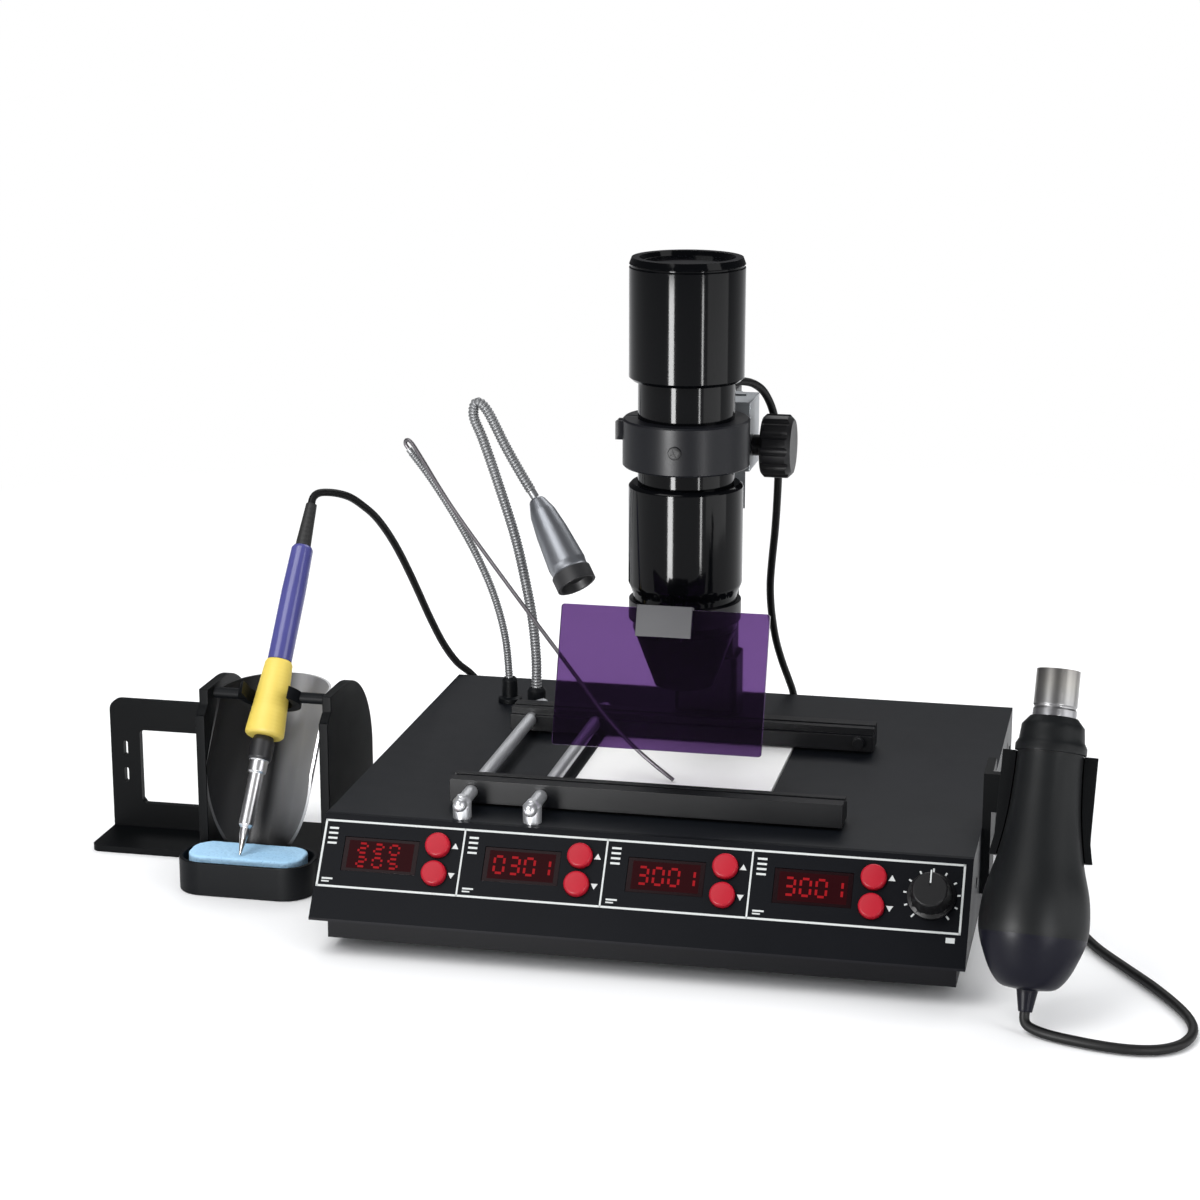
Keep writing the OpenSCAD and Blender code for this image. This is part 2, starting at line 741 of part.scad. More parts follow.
// Involute tooth flanks of the pinion, from its base circle to its tip
function flank(r, t) = r * [cos(t) + t * PI / 180 * sin(t), sin(t) - t * PI / 180 * cos(t)];
function turned(p, a) = [p[0] * cos(a) - p[1] * sin(a), p[0] * sin(a) + p[1] * cos(a)];
function roll(r, base) = 180 / PI * sqrt(max(0, pow(r / base, 2) - 1));

module gear_outline() {
  base_r = pitch_r * cos(20);
  tip_r = pitch_r + addendum * gear_module;
  root_r = pitch_r - dedendum * gear_module;
  tip_roll = roll(tip_r, base_r);
  pitch_roll = roll(pitch_r, base_r);
  p = flank(base_r, pitch_roll);
  half = 90 / pinion_teeth - backlash / 2 / pitch_r * 180 / PI + atan2(p[1], p[0]);
  steps = 4;
  polygon([for (i = [0:pinion_teeth - 1]) let (a = 360 * i / pinion_teeth) each concat(
    [turned([root_r, 0], a - half - 1)],
    [for (k = [0:steps]) turned(flank(base_r, tip_roll * k / steps), a - half)],
    [for (k = [steps:-1:0]) let (f = flank(base_r, tip_roll * k / steps)) turned([f[0], -f[1]], a + half)],
    [turned([root_r, 0], a + half + 1)]
  )]);
}

// The gap between two teeth faces the rack at rest
module focus_pinion() {
  half = dovetail_w / 2 + carriage_wing;
  color("#b5b8bb") translate([0, pinion_y, pinion_z]) {
    translate([-rack_w / 2, 0, 0]) rotate([90, 0, 90]) linear_extrude(rack_w) rotate(180 / pinion_teeth) gear_outline();
    pin_x(shaft_d, -pinion_x, half + move_gap + hub_l + focus_w / 2);
  }
}

module focus_knob() {
  flutes = 12;
  inner = dovetail_w / 2 + carriage_wing + move_gap;
  r = focus_d / 2;
  bore = shaft_d / 2 + seat_gap;
  out = hub_l + focus_w;
  color("#141517") translate([inner, pinion_y, pinion_z]) rotate([0, 90, 0]) difference() {
    revolve([
      [bore, 0], [hub_d / 2, 0], [hub_d / 2, hub_l], [r - 2, hub_l], [r, hub_l + 2], [r, out - 3], [r - 3, out],
      [0, out], [0, hub_l + focus_w / 2 + seat_gap], [bore, hub_l + focus_w / 2 + seat_gap]
    ]);
    for (i = [0:flutes - 1]) rotate(360 * i / flutes) translate([r + 2, 0, hub_l - 1]) cylinder(d = 7, h = 2 * focus_w);
  }
}

// Lamp
module clamp_ring() {
  nub_r = ring_r + 4;
  color("#1d1e20") {
    on_lamp(ring_z) difference() {
      union() {
        revolve([
          [neck_r + seat_gap, 0], [ring_r - 1, 0], [ring_r, 1], [ring_r, ring_h - 1],
          [ring_r - 1, ring_h], [neck_r + seat_gap, ring_h]
        ]);
        box([-14, neck_r + ring_wall / 2, 2], [14, carriage_front - work_y, ring_h - 2]);
        box([-nub_r, -6, ring_h - 14], [-ring_r + 3, 6, ring_h - 3]);
      }
      box([-2 * ring_r, -1, -1], [-neck_r + 1, 1, ring_h + 1]);
    }
  }
}

module lamp_upper() {
  r = barrel_r;
  top = upper_h;
  color("#101113") {
    on_lamp(upper_z) difference() {
      revolve([
        [0, lower_top - upper_z], [neck_r, lower_top - upper_z], [neck_r, 0], [r - 2, 0], [r, 2],
        [r, top - 6], [r - 0.8, top - 5.5], [r - 0.8, top - 4.5], [r, top - 4], [r - 1.5, top],
        [r - 6, top], [r - 7, top - 3], [0, top - 3]
      ]);
      translate([0, 0, lower_top - upper_z - 1]) cylinder(r = neck_r - barrel_wall, h = upper_z - lower_top + 1 + top - barrel_roof);
      translate([0, 0, barrel_wall]) cylinder(r = r - barrel_wall, h = top - barrel_roof - barrel_wall);
    }
    on_lamp(lamp_gland_z) rotate([0, 0, 60]) pin_x(gland_d, neck_r - 1, lamp_gland_r);
  }
}

module lamp_lower() {
  r = barrel_r;
  h = lower_h;
  color("#101113") on_lamp(lower_z) difference() {
    revolve([
      [0, h], [r - 2, h], [r, h - 2], [r, 8], [foot_r, 0], [foot_r, cone_top - lower_z], [0, cone_top - lower_z]
    ]);
    translate([0, 0, cone_top - lower_z - 1]) cylinder(r = foot_r - barrel_wall, h = lower_z - cone_top + h - 4);
  }
}

module lens_cone() {
  wall = barrel_wall;
  mouth = mouth_d / 2;
  color("#101113") on_lamp(cone_z) revolve([
    [mouth - wall, 0], [mouth, 0], [mouth + 0.6, 2], [foot_r, cone_h], [foot_r - wall, cone_h],
    [mouth - wall + 0.6, lens_t + 2], [mouth - wall - 2, lens_t + 2], [mouth - wall - 2, lens_t + 1], [mouth - wall, lens_t + 1]
  ]);
}

module lamp_lens() {
  r = mouth_d / 2 - barrel_wall - seat_gap;
  color("#cfd8dc") on_lamp(cone_z + 1) revolve([[0, 0], [r, 0], [r, lens_t], [0, lens_t]]);
}

module ir_bulb() {
  z = cone_top - lower_z;
  color("#e8e3d0") on_lamp(lower_z) revolve([
    [0, z + 12], [18, z + 14], [24, z + 22], [23, z + 34], [13, z + 58], [12.5, lower_h - 5], [0, lower_h - 5]
  ]);
}

// Shield: a band round the lamp's foot carries two lugs and the pivot pin
module shield_bracket() {
  band_z = lower_z - 3 - band_h;
  outer = knuckle_w / 2 + move_gap + lug_t;
  color("#3a3c3f") {
    on_lamp(band_z) revolve([
      [foot_r + seat_gap, 0], [foot_r + band_t, 0], [foot_r + band_t, band_h], [foot_r + seat_gap, band_h]
    ]);
    box([-arm_w / 2, pivot_y + 8, band_z], [arm_w / 2, work_y - foot_r - seat_gap - 0.5, band_z + 4]);
    for (side = [-1, 1]) translate([side * (outer - lug_t / 2), 0, 0])
      box([-lug_t / 2, pivot_y - 4, band_z], [lug_t / 2, pivot_y + 12, pivot_z + 5]);
    translate([0, pivot_y, pivot_z]) pin_x(pivot_d, -outer, outer);
  }
}

module on_shield() translate([0, pivot_y, pivot_z]) rotate([-shield_tilt, 0, 0]) children();

module shield_clip() {
  front = -clip_set - clip_t - shield_t - seat_gap;
  low = clip_top - clip_h;
  color("#c3c6c9") on_shield() difference() {
    union() {
      pin_x(9, -knuckle_w / 2, knuckle_w / 2);
      box([-knuckle_w / 2, -clip_set, -3], [knuckle_w / 2, 0, 3]);
      box([-clip_w / 2, -clip_set - clip_t, low], [clip_w / 2, -clip_set, clip_top]);
      box([-clip_w / 2, front - clip_t, low], [clip_w / 2, front, clip_top]);
      box([-clip_w / 2, front - clip_t, clip_top - eps], [clip_w / 2, -clip_set, clip_top + clip_t]);
    }
    pin_x(pivot_d + 2 * run_fit, -knuckle_w, knuckle_w);
  }
}

module eye_shield() {
  color("#6d4a92") on_shield()
    translate([0, -clip_set - clip_t - seat_gap / 2, clip_top - seat_gap - shield_l / 2]) rotate([90, 0, 0])
      round_plate(shield_w, shield_l, 2, shield_t - seat_gap);
}

// Flexible arms
module arm_socket(foot, d) {
  translate([foot[0], foot[1], top_z]) difference() {
    revolve([
      [0, 0], [d / 2 + socket_wall + 2.5, 0], [d / 2 + socket_wall + 2.5, 3], [d / 2 + socket_wall, 4],
      [d / 2 + socket_wall, socket_h - 2], [d / 2 + 1, socket_h], [0, socket_h]
    ]);
    translate([0, 0, 1]) cylinder(d = d + 1, h = socket_h);
  }
}

module arm_sockets() {
  color("#17181a") {
    arm_socket(light_foot, light_arm_d);
    arm_socket(sensor_foot, sensor_arm_d);
  }
}

module sensor_arm() {
  color("#8f9296") translate([arm_shift, 0, top_z - drawn_top + arm_seat]) swept(sensor_route, sensor_arm_d, 10, 4);
}

module sensor_probe() {
  start = probe_route[0][0];
  color("#b9bcbf") translate([0, 0, top_z - drawn_top])
    swept([for (p = probe_route) p + [arm_shift * p[0] / start, 0, 0]], sensor_d, 8, 5);
}

module light_arm() {
  color("#8f9296") translate([arm_shift, 0, top_z - drawn_top + arm_seat]) swept(light_route, light_arm_d, 10, 3);
}

module light_head() {
  d = unit(light_head_dir);
  r = head_d / 2;
  color("#c9ccd0") translate(light_head_at + [arm_shift, 0, top_z - drawn_top + arm_seat])
    rotate([0, acos(d[2]), atan2(d[1], d[0])]) revolve([
      [0, head_gap], [4.5, head_gap], [5.5, head_gap + 1.5], [r - 4.5, 12], [r - 2.5, 26], [r - 0.5, head_l - 16], [r - 1, head_l - 12],
      [r - 1, head_l - 10.5], [r, head_l - 9.5], [r, head_l], [r - 2, head_l], [r - 3, head_l - 5], [0, head_l - 6]
    ]);
}

// Hot-air gun: radius along its axis, from the foot of the cord to the shoulder
function gun_outline() = smooth([
  [7, 2], [15, 3.5], [21, 10], [25.8, 20], [gun_d / 2 - 0.6, 31], [gun_d / 2, 41], [gun_d / 2 - 1.6, 55],
  [gun_neck_d / 2 + 5.6, 73], [gun_neck_d / 2 + 1.9, 95], [gun_neck_d / 2 + 0.4, 115], [gun_neck_d / 2, gun_seat - 3]
], 4);

module gun_body() {
  neck = gun_neck_d / 2;
  color("#2e3033") on_gun() {
    revolve(concat([[0, 2]], gun_outline(), [[0, gun_seat - 3]]));
    translate([0, 0, gun_seat - 3 - eps]) revolve([
      [0, 0], [neck, 0], [neck, 3.3], [neck + 1.6, 3.3], [neck + 1.6, 7], [neck, 10],
      [neck - 0.8, gun_shoulder - 5], [nozzle_d / 2 + 1, gun_shoulder], [0, gun_shoulder]
    ]);
    translate([0, 0, -10]) revolve([[0, 0], [gun_cord_d / 2 + 1, 0], [6, 12.5], [0, 12.5]]);
  }
}

module gun_nozzle() {
  r = nozzle_d / 2;
  color("#b9bcbf") on_gun() translate([0, 0, gun_seat - 3 + gun_shoulder]) revolve([
    [r - 1.2, 0], [r, 0], [r, 4], [r - 0.6, 4.6], [r - 0.6, 5.6], [r, 6.2], [r, nozzle_l], [r - 1.2, nozzle_l]
  ]);
}

// Cradle: a half-round trough that is open to the front, on an arm from the side of the case
module gun_cradle() {
  neck = gun_neck_d / 2;
  grow = move_gap + 0.2;
  low = gun_seat - cradle_l;
  trough = [for (p = gun_outline()) if (p[1] > low && p[1] < gun_seat) p];
  reach = gun_foot[0] - case_w / 2;
  color("#17181a") {
    on_gun() difference() {
      revolve(concat(
        [for (p = trough) [p[0] + grow, p[1]]], [[neck + grow, gun_seat]], [[cradle_r, gun_seat]],
        [for (i = [len(trough) - 1:-1:0]) [max(cradle_r, trough[i][0] + grow + cradle_wall), trough[i][1]]]
      ));
      box([-gun_d, -gun_d, 0], [gun_d, 0, 2 * gun_seat]);
    }
    on_gun() box([-8, neck + grow + 2.4, gun_seat - 22], [8, 88, gun_seat - 8]);
    box([case_w / 2, cradle_y - 30, top_z - 40], [case_w / 2 + bracket_t, cradle_y + 2, top_z + 33]);
    box([case_w / 2, cradle_y - 30, top_z + 10], [case_w / 2 + reach + 12, cradle_y - 24, top_z + 33]);
  }
}

// Glands where the cords enter the case
module elbow(x) {
  translate([x, rear_y, gland_z]) {
    pin_y(gland_d, 0, elbow_l - gland_d / 2);
    translate([0, elbow_l - gland_d / 2, 0]) {
      sphere(d = gland_d);
      cylinder(d1 = gland_d, d2 = 8, h = 16);
    }
  }
}

module cord_glands() {
  color("#141517") {
    elbow(lamp_gland_x);
    elbow(iron_gland_x);
    translate([gun_gland_x, rear_y, gland_z]) rotate([-90, 0, 0])
      revolve([[0, 0], [gland_d / 2 + 2, 0], [gland_d / 2 + 2, 3], [gland_d / 2, 4], [4, gland_l], [0, gland_l]]);
  }
}

// Iron stand
module stand_base() {
  color("#1c1d1f") {
    w = stand_w + 2 * cheek_t;
    box([stand_x - w / 2, cheek_y, 0], [stand_x + w / 2, cheek_y + cheek_d, stand_plate_t]);
  }
}

module cheek_outline() {
  r = cheek_h - cheek_straight - stand_plate_t;
  intersection() {
    union() {
      translate([cheek_y, stand_plate_t]) square([cheek_d, cheek_straight]);
      translate([cheek_y + cheek_d - r, stand_plate_t + cheek_straight]) circle(r, $fn = 96);
      translate([cheek_y + 8, stand_plate_t + cheek_straight]) square([cheek_d - r - 8, r]);
      translate([cheek_y, stand_plate_t + cheek_straight - 1]) square([8 + eps, r - 14]);
    }
    translate([cheek_y, stand_plate_t]) square([cheek_d, cheek_h]);
  }
}

module stand_cheeks() {
  color("#26282b") for (side = [-1, 1])
    translate([stand_x + side * (stand_w + cheek_t) / 2, 0, 0]) along_x(cheek_t) cheek_outline();
}

// Curved heat guard behind the iron, standing on the base plate
module stand_guard() {
  color("#8b8e92") intersection() {
    on_iron() difference() {
      cylinder(r = guard_r, h = 2 * cheek_h);
      translate([0, 0, -1]) cylinder(r = guard_r - guard_t, h = 2 * cheek_h + 2);
      box([-2 * guard_r, -2 * guard_r, -1], [2 * guard_r, guard_edge, 2 * cheek_h + 2]);
    }
    box([stand_x - stand_w / 2 + 0.3, cheek_y, stand_plate_t], [stand_x + stand_w / 2 - 0.3, cheek_y + cheek_d, cheek_h - 4]);
  }
}

// Fork that holds the iron's grip, open to the front; the grip leans on its lower rim
module iron_ring() {
  lean = ring_in / 2 - grip_ring_r() - 0.3;
  color("#141517") {
    difference() {
      union() {
        on_iron() translate([0, -lean, ring_at]) cylinder(d = ring_out, h = ring_t);
        on_iron() translate([0, -lean, ring_at + ring_t / 2]) rotate([0, -iron_side, 0])
          pin_x(ring_t - 1, -stand_w, stand_w);
      }
      on_iron() translate([0, -lean, ring_at - 20]) {
        cylinder(d = ring_in, h = 60);
        box([-ring_in / 2, -ring_out, 0], [ring_in / 2, 0, 60]);
      }
      for (side = [-1, 1]) translate([stand_x + side * stand_w, 0, 0])
        cube([stand_w, 4 * cheek_d, 4 * cheek_h], center = true);
    }
  }
}

function grip_ring_r() = grip_d / 2 - (grip_d / 2 - handle_d / 2 - grip_step) * (ring_at - grip_at - grip_lip) / (grip_l - 2 - grip_lip);

module side_frame() {
  color("#1a1b1d") {
    difference() {
      box([frame_x, frame_y, 0], [frame_x + frame_w, frame_y + frame_t, frame_h]);
      box([frame_x + frame_bar, 0, frame_bar], [frame_x + frame_w - 8, 2 * frame_y, frame_h - frame_bar]);
      for (z = [frame_h / 2 - 6, frame_h / 2 + 12])
        translate([frame_x + frame_bar / 2, frame_y, z]) cube([3, 4 * frame_t, 10], center = true);
    }
    box([frame_x, frame_y + frame_t - frame_foot, 0], [frame_x + frame_w, frame_y + frame_t, 4]);
  }
}

module sponge_tray() {
  color("#15171a") translate([tray_x, tray_y + tray_d / 2, 0]) difference() {
    round_plate(tray_w, tray_d, tray_corner, tray_h);
    translate([0, 0, tray_wall_t]) round_plate(tray_w - 2 * tray_wall_t, tray_d - 2 * tray_wall_t, tray_corner - tray_wall_t, tray_h);
  }
}

module sponge() {
  inset = tray_wall_t + sponge_gap;
  color("#a5d2fa") translate([tray_x, tray_y + tray_d / 2, tray_wall_t])
    round_plate(tray_w - 2 * inset, tray_d - 2 * inset, tray_corner - inset, sponge_top - tray_wall_t);
}

// Soldering iron
module iron_tip() {
  s = sleeve_d / 2;
  n = nut_d / 2;
  color("#c3c6c9") on_iron() revolve([
    [0, 0], [0.6, 0], [s - 1.6, 13], [s - 1.6, 17], [s, 19],
    [s, sleeve_end - 8], [s + 1.2, sleeve_end - 7], [s + 1.2, sleeve_end],
    [n - 1.5, sleeve_end], [n, sleeve_end + 2], [n, grip_at - 4], [n - 1.5, grip_at], [0, grip_at]
  ]);
}

module iron_grip() {
  r0 = grip_d / 2;
  r1 = handle_d / 2 + grip_step;
  color("#f6e36e") on_iron() translate([0, 0, grip_at]) revolve([
    [0, 0], [r0 - 1.5, 0], [r0, 1.5], [r0, grip_lip], [r1, grip_l - 2], [r1 - 1, grip_l], [0, grip_l]
  ]);
}

module iron_handle() {
  r = handle_d / 2;
  color("#46419a") on_iron() translate([0, 0, handle_at]) revolve([
    [0, 0], [r, 0], [r, handle_l * 0.6], [r - 0.8, handle_l - 2], [r - 2, handle_l], [relief_d / 2 + 1.5, handle_l],
    [relief_d / 2, handle_l + relief_l], [0, handle_l + relief_l]
  ]);
}

// Push buttons
module button(i, side) {
  r = button_d / 2;
  under = -panel_t - 0.3;
  stem = -board_gap + switch_h + button_travel + 0.5;
  color("#d92832") on_panel() translate([module_x[i] + button_x, -row_s + side * button_pitch / 2, 0]) revolve([
    [0, stem], [2, stem], [2, under - flange_t], [r + flange_over, under - flange_t], [r + flange_over, under], [r, under],
    [r, button_out - 1], [r - 1, button_out], [0, button_out + 0.4]
  ]);
}

module button_1_upper() button(0, 1);
module button_1_lower() button(0, -1);
module button_2_upper() button(1, 1);
module button_2_lower() button(1, -1);
module button_3_upper() button(2, 1);
module button_3_lower() button(2, -1);
module button_4_upper() button(3, 1);
module button_4_lower() button(3, -1);

module air_knob() {
  r = knob_d / 2;
  flutes = 24;
  color("#17181a") on_panel() translate([knob_x, -row_s, move_gap]) difference() {
    union() {
      revolve([[0, 0], [r + 1, 0], [r + 1, 2], [r - 1, 3], [r - 2.5, knob_h - 1], [r - 3.5, knob_h], [0, knob_h]]);
      translate([0, 0, -board_gap - move_gap + 1.5]) cylinder(d = shaft_d, h = board_gap);
    }
    for (i = [0:flutes - 1]) rotate(360 * i / flutes) translate([r - 0.5, 0, 3]) cylinder(d = 1.6, h = knob_h);
    translate([0, r / 2 + 2, knob_h]) cube([1.4, r, 1.2], center = true);
  }
}

// Cords
module lamp_cord() {
  color("#1a1a1a") swept(lamp_route, lamp_cord_d, 8, 3);
}

module iron_cord() {
  color("#1a1a1a") swept(iron_route, iron_cord_d, 8, 3);
}

module gun_cord() {
  color("#1a1a1a") swept(gun_route, gun_cord_d, 8, 2);
}

// The assembly
placed() base_pan();
placed() top_cover();
placed() front_panel();
placed() rear_panel();
placed() rubber_feet();
placed() display_windows();
placed() control_board();
placed() transformer();
placed() mains_inlet();
placed() heater_tray();
placed() heater_plate();
placed() guide_rods();
placed() lamp_column();
placed() rack_plate();
placed() arm_sockets();
placed() sensor_arm();
placed() sensor_probe();
placed() light_arm();
placed() light_head();
placed() gun_cradle();
placed() cord_glands();
placed() stand_base();
placed() stand_cheeks();
placed() stand_guard();
placed() iron_ring();
placed() side_frame();
placed() sponge_tray();
placed() sponge();
placed() button_1_upper();
placed() button_1_lower();
placed() button_2_upper();
placed() button_2_lower();
placed() button_3_upper();
placed() button_3_lower();
placed() button_4_upper();
placed() button_4_lower();
placed() air_knob();
placed() power_rocker();
placed() front_rail();
placed() rear_rail();
placed() lamp_carriage();
placed() clamp_ring();
placed() lamp_upper();
placed() lamp_lower();
placed() lens_cone();
placed() lamp_lens();
placed() ir_bulb();
placed() shield_bracket();
placed() focus_knob();
placed() focus_pinion();
placed() shield_clip();
placed() eye_shield();
placed() gun_body();
placed() gun_nozzle();
placed() iron_tip();
placed() iron_grip();
placed() iron_handle();
placed() lamp_cord();
placed() iron_cord();
placed() gun_cord();
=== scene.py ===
# %% [markdown]
# # A bench rework station, dressed over its solids
# The station is a low dark case with a white preheating plate, a tall lamp on a focusing column, a purple
# eye shield, two flexible arms, a hot-air gun on the right and a soldering iron in its stand on the left.
# Its solids arrive already placed and jointed. This lesson gives them edges, finishes and the small things
# a solid leaves out.

# %% Load the frame
import json
import math
import bpy
from mathutils import Matrix, Vector
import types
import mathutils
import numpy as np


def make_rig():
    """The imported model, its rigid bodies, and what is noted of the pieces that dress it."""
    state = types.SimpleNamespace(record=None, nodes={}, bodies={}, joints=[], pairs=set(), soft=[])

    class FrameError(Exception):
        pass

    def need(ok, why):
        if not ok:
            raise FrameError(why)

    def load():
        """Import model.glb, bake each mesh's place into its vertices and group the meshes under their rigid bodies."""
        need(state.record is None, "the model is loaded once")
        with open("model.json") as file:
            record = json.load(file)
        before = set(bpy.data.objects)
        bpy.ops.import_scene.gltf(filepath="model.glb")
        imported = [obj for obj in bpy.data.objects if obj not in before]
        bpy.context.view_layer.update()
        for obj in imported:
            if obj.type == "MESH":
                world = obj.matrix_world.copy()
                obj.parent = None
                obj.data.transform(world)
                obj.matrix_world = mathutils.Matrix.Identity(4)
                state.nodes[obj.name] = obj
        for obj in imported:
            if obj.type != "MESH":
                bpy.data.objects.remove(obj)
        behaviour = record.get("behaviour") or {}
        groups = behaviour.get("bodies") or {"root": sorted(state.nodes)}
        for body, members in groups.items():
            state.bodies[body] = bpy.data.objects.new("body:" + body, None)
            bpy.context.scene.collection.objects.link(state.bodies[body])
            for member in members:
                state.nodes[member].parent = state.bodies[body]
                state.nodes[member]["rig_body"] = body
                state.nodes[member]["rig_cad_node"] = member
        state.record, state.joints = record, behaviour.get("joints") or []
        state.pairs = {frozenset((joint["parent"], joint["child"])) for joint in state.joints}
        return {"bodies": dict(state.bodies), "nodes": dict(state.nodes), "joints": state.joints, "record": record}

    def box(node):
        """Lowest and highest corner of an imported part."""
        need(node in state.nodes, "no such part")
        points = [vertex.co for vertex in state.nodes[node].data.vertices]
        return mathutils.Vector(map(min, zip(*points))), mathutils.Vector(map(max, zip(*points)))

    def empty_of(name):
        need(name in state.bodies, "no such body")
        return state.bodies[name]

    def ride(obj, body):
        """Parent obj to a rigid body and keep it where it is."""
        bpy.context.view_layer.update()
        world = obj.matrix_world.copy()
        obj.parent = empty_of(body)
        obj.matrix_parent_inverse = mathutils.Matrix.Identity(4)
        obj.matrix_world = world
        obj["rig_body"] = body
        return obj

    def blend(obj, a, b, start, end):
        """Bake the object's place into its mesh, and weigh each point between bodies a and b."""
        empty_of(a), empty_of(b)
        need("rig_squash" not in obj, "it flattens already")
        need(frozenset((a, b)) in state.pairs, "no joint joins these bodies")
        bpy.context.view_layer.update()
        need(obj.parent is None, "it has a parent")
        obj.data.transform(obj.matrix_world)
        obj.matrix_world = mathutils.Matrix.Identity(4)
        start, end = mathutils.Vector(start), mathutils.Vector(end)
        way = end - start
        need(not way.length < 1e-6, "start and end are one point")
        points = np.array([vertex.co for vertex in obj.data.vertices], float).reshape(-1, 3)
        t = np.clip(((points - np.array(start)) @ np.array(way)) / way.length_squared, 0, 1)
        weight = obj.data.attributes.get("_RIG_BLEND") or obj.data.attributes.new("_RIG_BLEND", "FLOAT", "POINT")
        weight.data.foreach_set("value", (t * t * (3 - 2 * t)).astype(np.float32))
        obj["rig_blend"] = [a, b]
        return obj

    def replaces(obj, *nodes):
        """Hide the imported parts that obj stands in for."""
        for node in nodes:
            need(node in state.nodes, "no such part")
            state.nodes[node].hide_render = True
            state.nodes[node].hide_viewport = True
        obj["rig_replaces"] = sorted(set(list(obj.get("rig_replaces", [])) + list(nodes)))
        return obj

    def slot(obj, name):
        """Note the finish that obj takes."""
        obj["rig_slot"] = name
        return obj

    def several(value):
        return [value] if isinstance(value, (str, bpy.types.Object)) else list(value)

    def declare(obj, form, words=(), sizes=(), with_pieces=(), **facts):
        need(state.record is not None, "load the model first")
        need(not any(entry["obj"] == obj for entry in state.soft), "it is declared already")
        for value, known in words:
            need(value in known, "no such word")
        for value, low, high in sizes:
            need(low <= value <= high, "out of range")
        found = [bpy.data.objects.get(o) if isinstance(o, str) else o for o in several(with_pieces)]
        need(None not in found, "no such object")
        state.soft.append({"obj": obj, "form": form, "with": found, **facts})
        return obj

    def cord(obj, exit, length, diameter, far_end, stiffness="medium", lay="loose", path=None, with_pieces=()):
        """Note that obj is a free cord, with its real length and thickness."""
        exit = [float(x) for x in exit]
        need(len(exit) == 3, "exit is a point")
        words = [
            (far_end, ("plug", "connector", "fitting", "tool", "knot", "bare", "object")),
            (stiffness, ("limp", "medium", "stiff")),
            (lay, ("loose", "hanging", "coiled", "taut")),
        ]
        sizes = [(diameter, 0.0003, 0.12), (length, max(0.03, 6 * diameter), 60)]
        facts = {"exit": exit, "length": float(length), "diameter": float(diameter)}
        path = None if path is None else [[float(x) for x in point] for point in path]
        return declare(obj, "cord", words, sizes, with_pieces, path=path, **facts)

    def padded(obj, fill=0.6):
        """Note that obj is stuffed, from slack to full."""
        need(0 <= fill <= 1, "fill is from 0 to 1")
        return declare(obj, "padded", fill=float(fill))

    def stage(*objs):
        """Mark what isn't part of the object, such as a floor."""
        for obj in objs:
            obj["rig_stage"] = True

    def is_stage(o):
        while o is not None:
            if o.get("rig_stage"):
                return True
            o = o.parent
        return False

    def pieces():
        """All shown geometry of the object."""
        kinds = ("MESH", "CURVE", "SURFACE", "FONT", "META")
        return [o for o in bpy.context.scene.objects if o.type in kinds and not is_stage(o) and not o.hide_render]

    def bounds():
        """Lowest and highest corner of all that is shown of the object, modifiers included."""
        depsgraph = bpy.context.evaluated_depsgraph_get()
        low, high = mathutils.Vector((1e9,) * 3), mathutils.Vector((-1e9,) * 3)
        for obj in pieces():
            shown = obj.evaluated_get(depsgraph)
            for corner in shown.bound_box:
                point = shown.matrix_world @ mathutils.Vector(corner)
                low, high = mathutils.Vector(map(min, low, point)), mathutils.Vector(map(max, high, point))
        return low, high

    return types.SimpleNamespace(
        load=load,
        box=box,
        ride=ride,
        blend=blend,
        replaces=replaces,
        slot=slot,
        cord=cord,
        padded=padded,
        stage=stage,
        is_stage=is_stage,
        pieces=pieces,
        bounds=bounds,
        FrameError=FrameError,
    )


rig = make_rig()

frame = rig.load()
cad_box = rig.bounds()
scene = bpy.context.scene
scene.view_settings.view_transform = "Standard"
bodies = frame["record"]["behaviour"]["bodies"]
body_of_node = {node: body for body, nodes in bodies.items() for node in nodes}
slot_of_node = {part["node"]: part["material_slot"] for part in frame["record"]["subparts"]}
print("nodes", len(frame["nodes"]), "bodies", len(frame["bodies"]))

# %% [markdown]
# ## The camera
# The picture was taken from a little right of the middle and somewhat above the bench, with a long lens
# that keeps the case's edges nearly parallel. Camera angles are easiest to trust when they are written as
# yaw and pitch, so the camera gets the angles that the case's straight edges gave, and no aim constraint is
# needed.

# %% Camera
SHIFT = Vector((63.465, -123.46, 0))
CAMERA_SPOT = (297, -1489, 606)
CAMERA_PITCH = 14.47
CAMERA_YAW = 12.19
SENSOR_WIDE = 36
FOCAL_LENGTH = 84.03


def place(x, y, z):
    """A point measured from the case's front edge, in millimetres, as a point of the frame in metres."""
    return (Vector((x, y, z)) + SHIFT) / 1000


bpy.ops.object.select_all(action="DESELECT")
bpy.ops.object.camera_add(
    location=place(*CAMERA_SPOT),
    rotation=(math.radians(90 - CAMERA_PITCH), 0, math.radians(CAMERA_YAW)),
)
camera = bpy.context.object
camera.name = "photo_camera"
camera.data.sensor_width = SENSOR_WIDE
camera.data.lens = FOCAL_LENGTH
scene.camera = camera
print("camera at", [round(c, 3) for c in camera.location])

# %% [markdown]
# ## Tubes that follow a route
# Cords and wires are all the same idea: a round section swept along a smooth line. A curve with a bevel
# does this in one step, and turning it into a mesh lets it bend between two bodies later. The line itself
# is smoothed here, point by point, so that its length is known exactly.

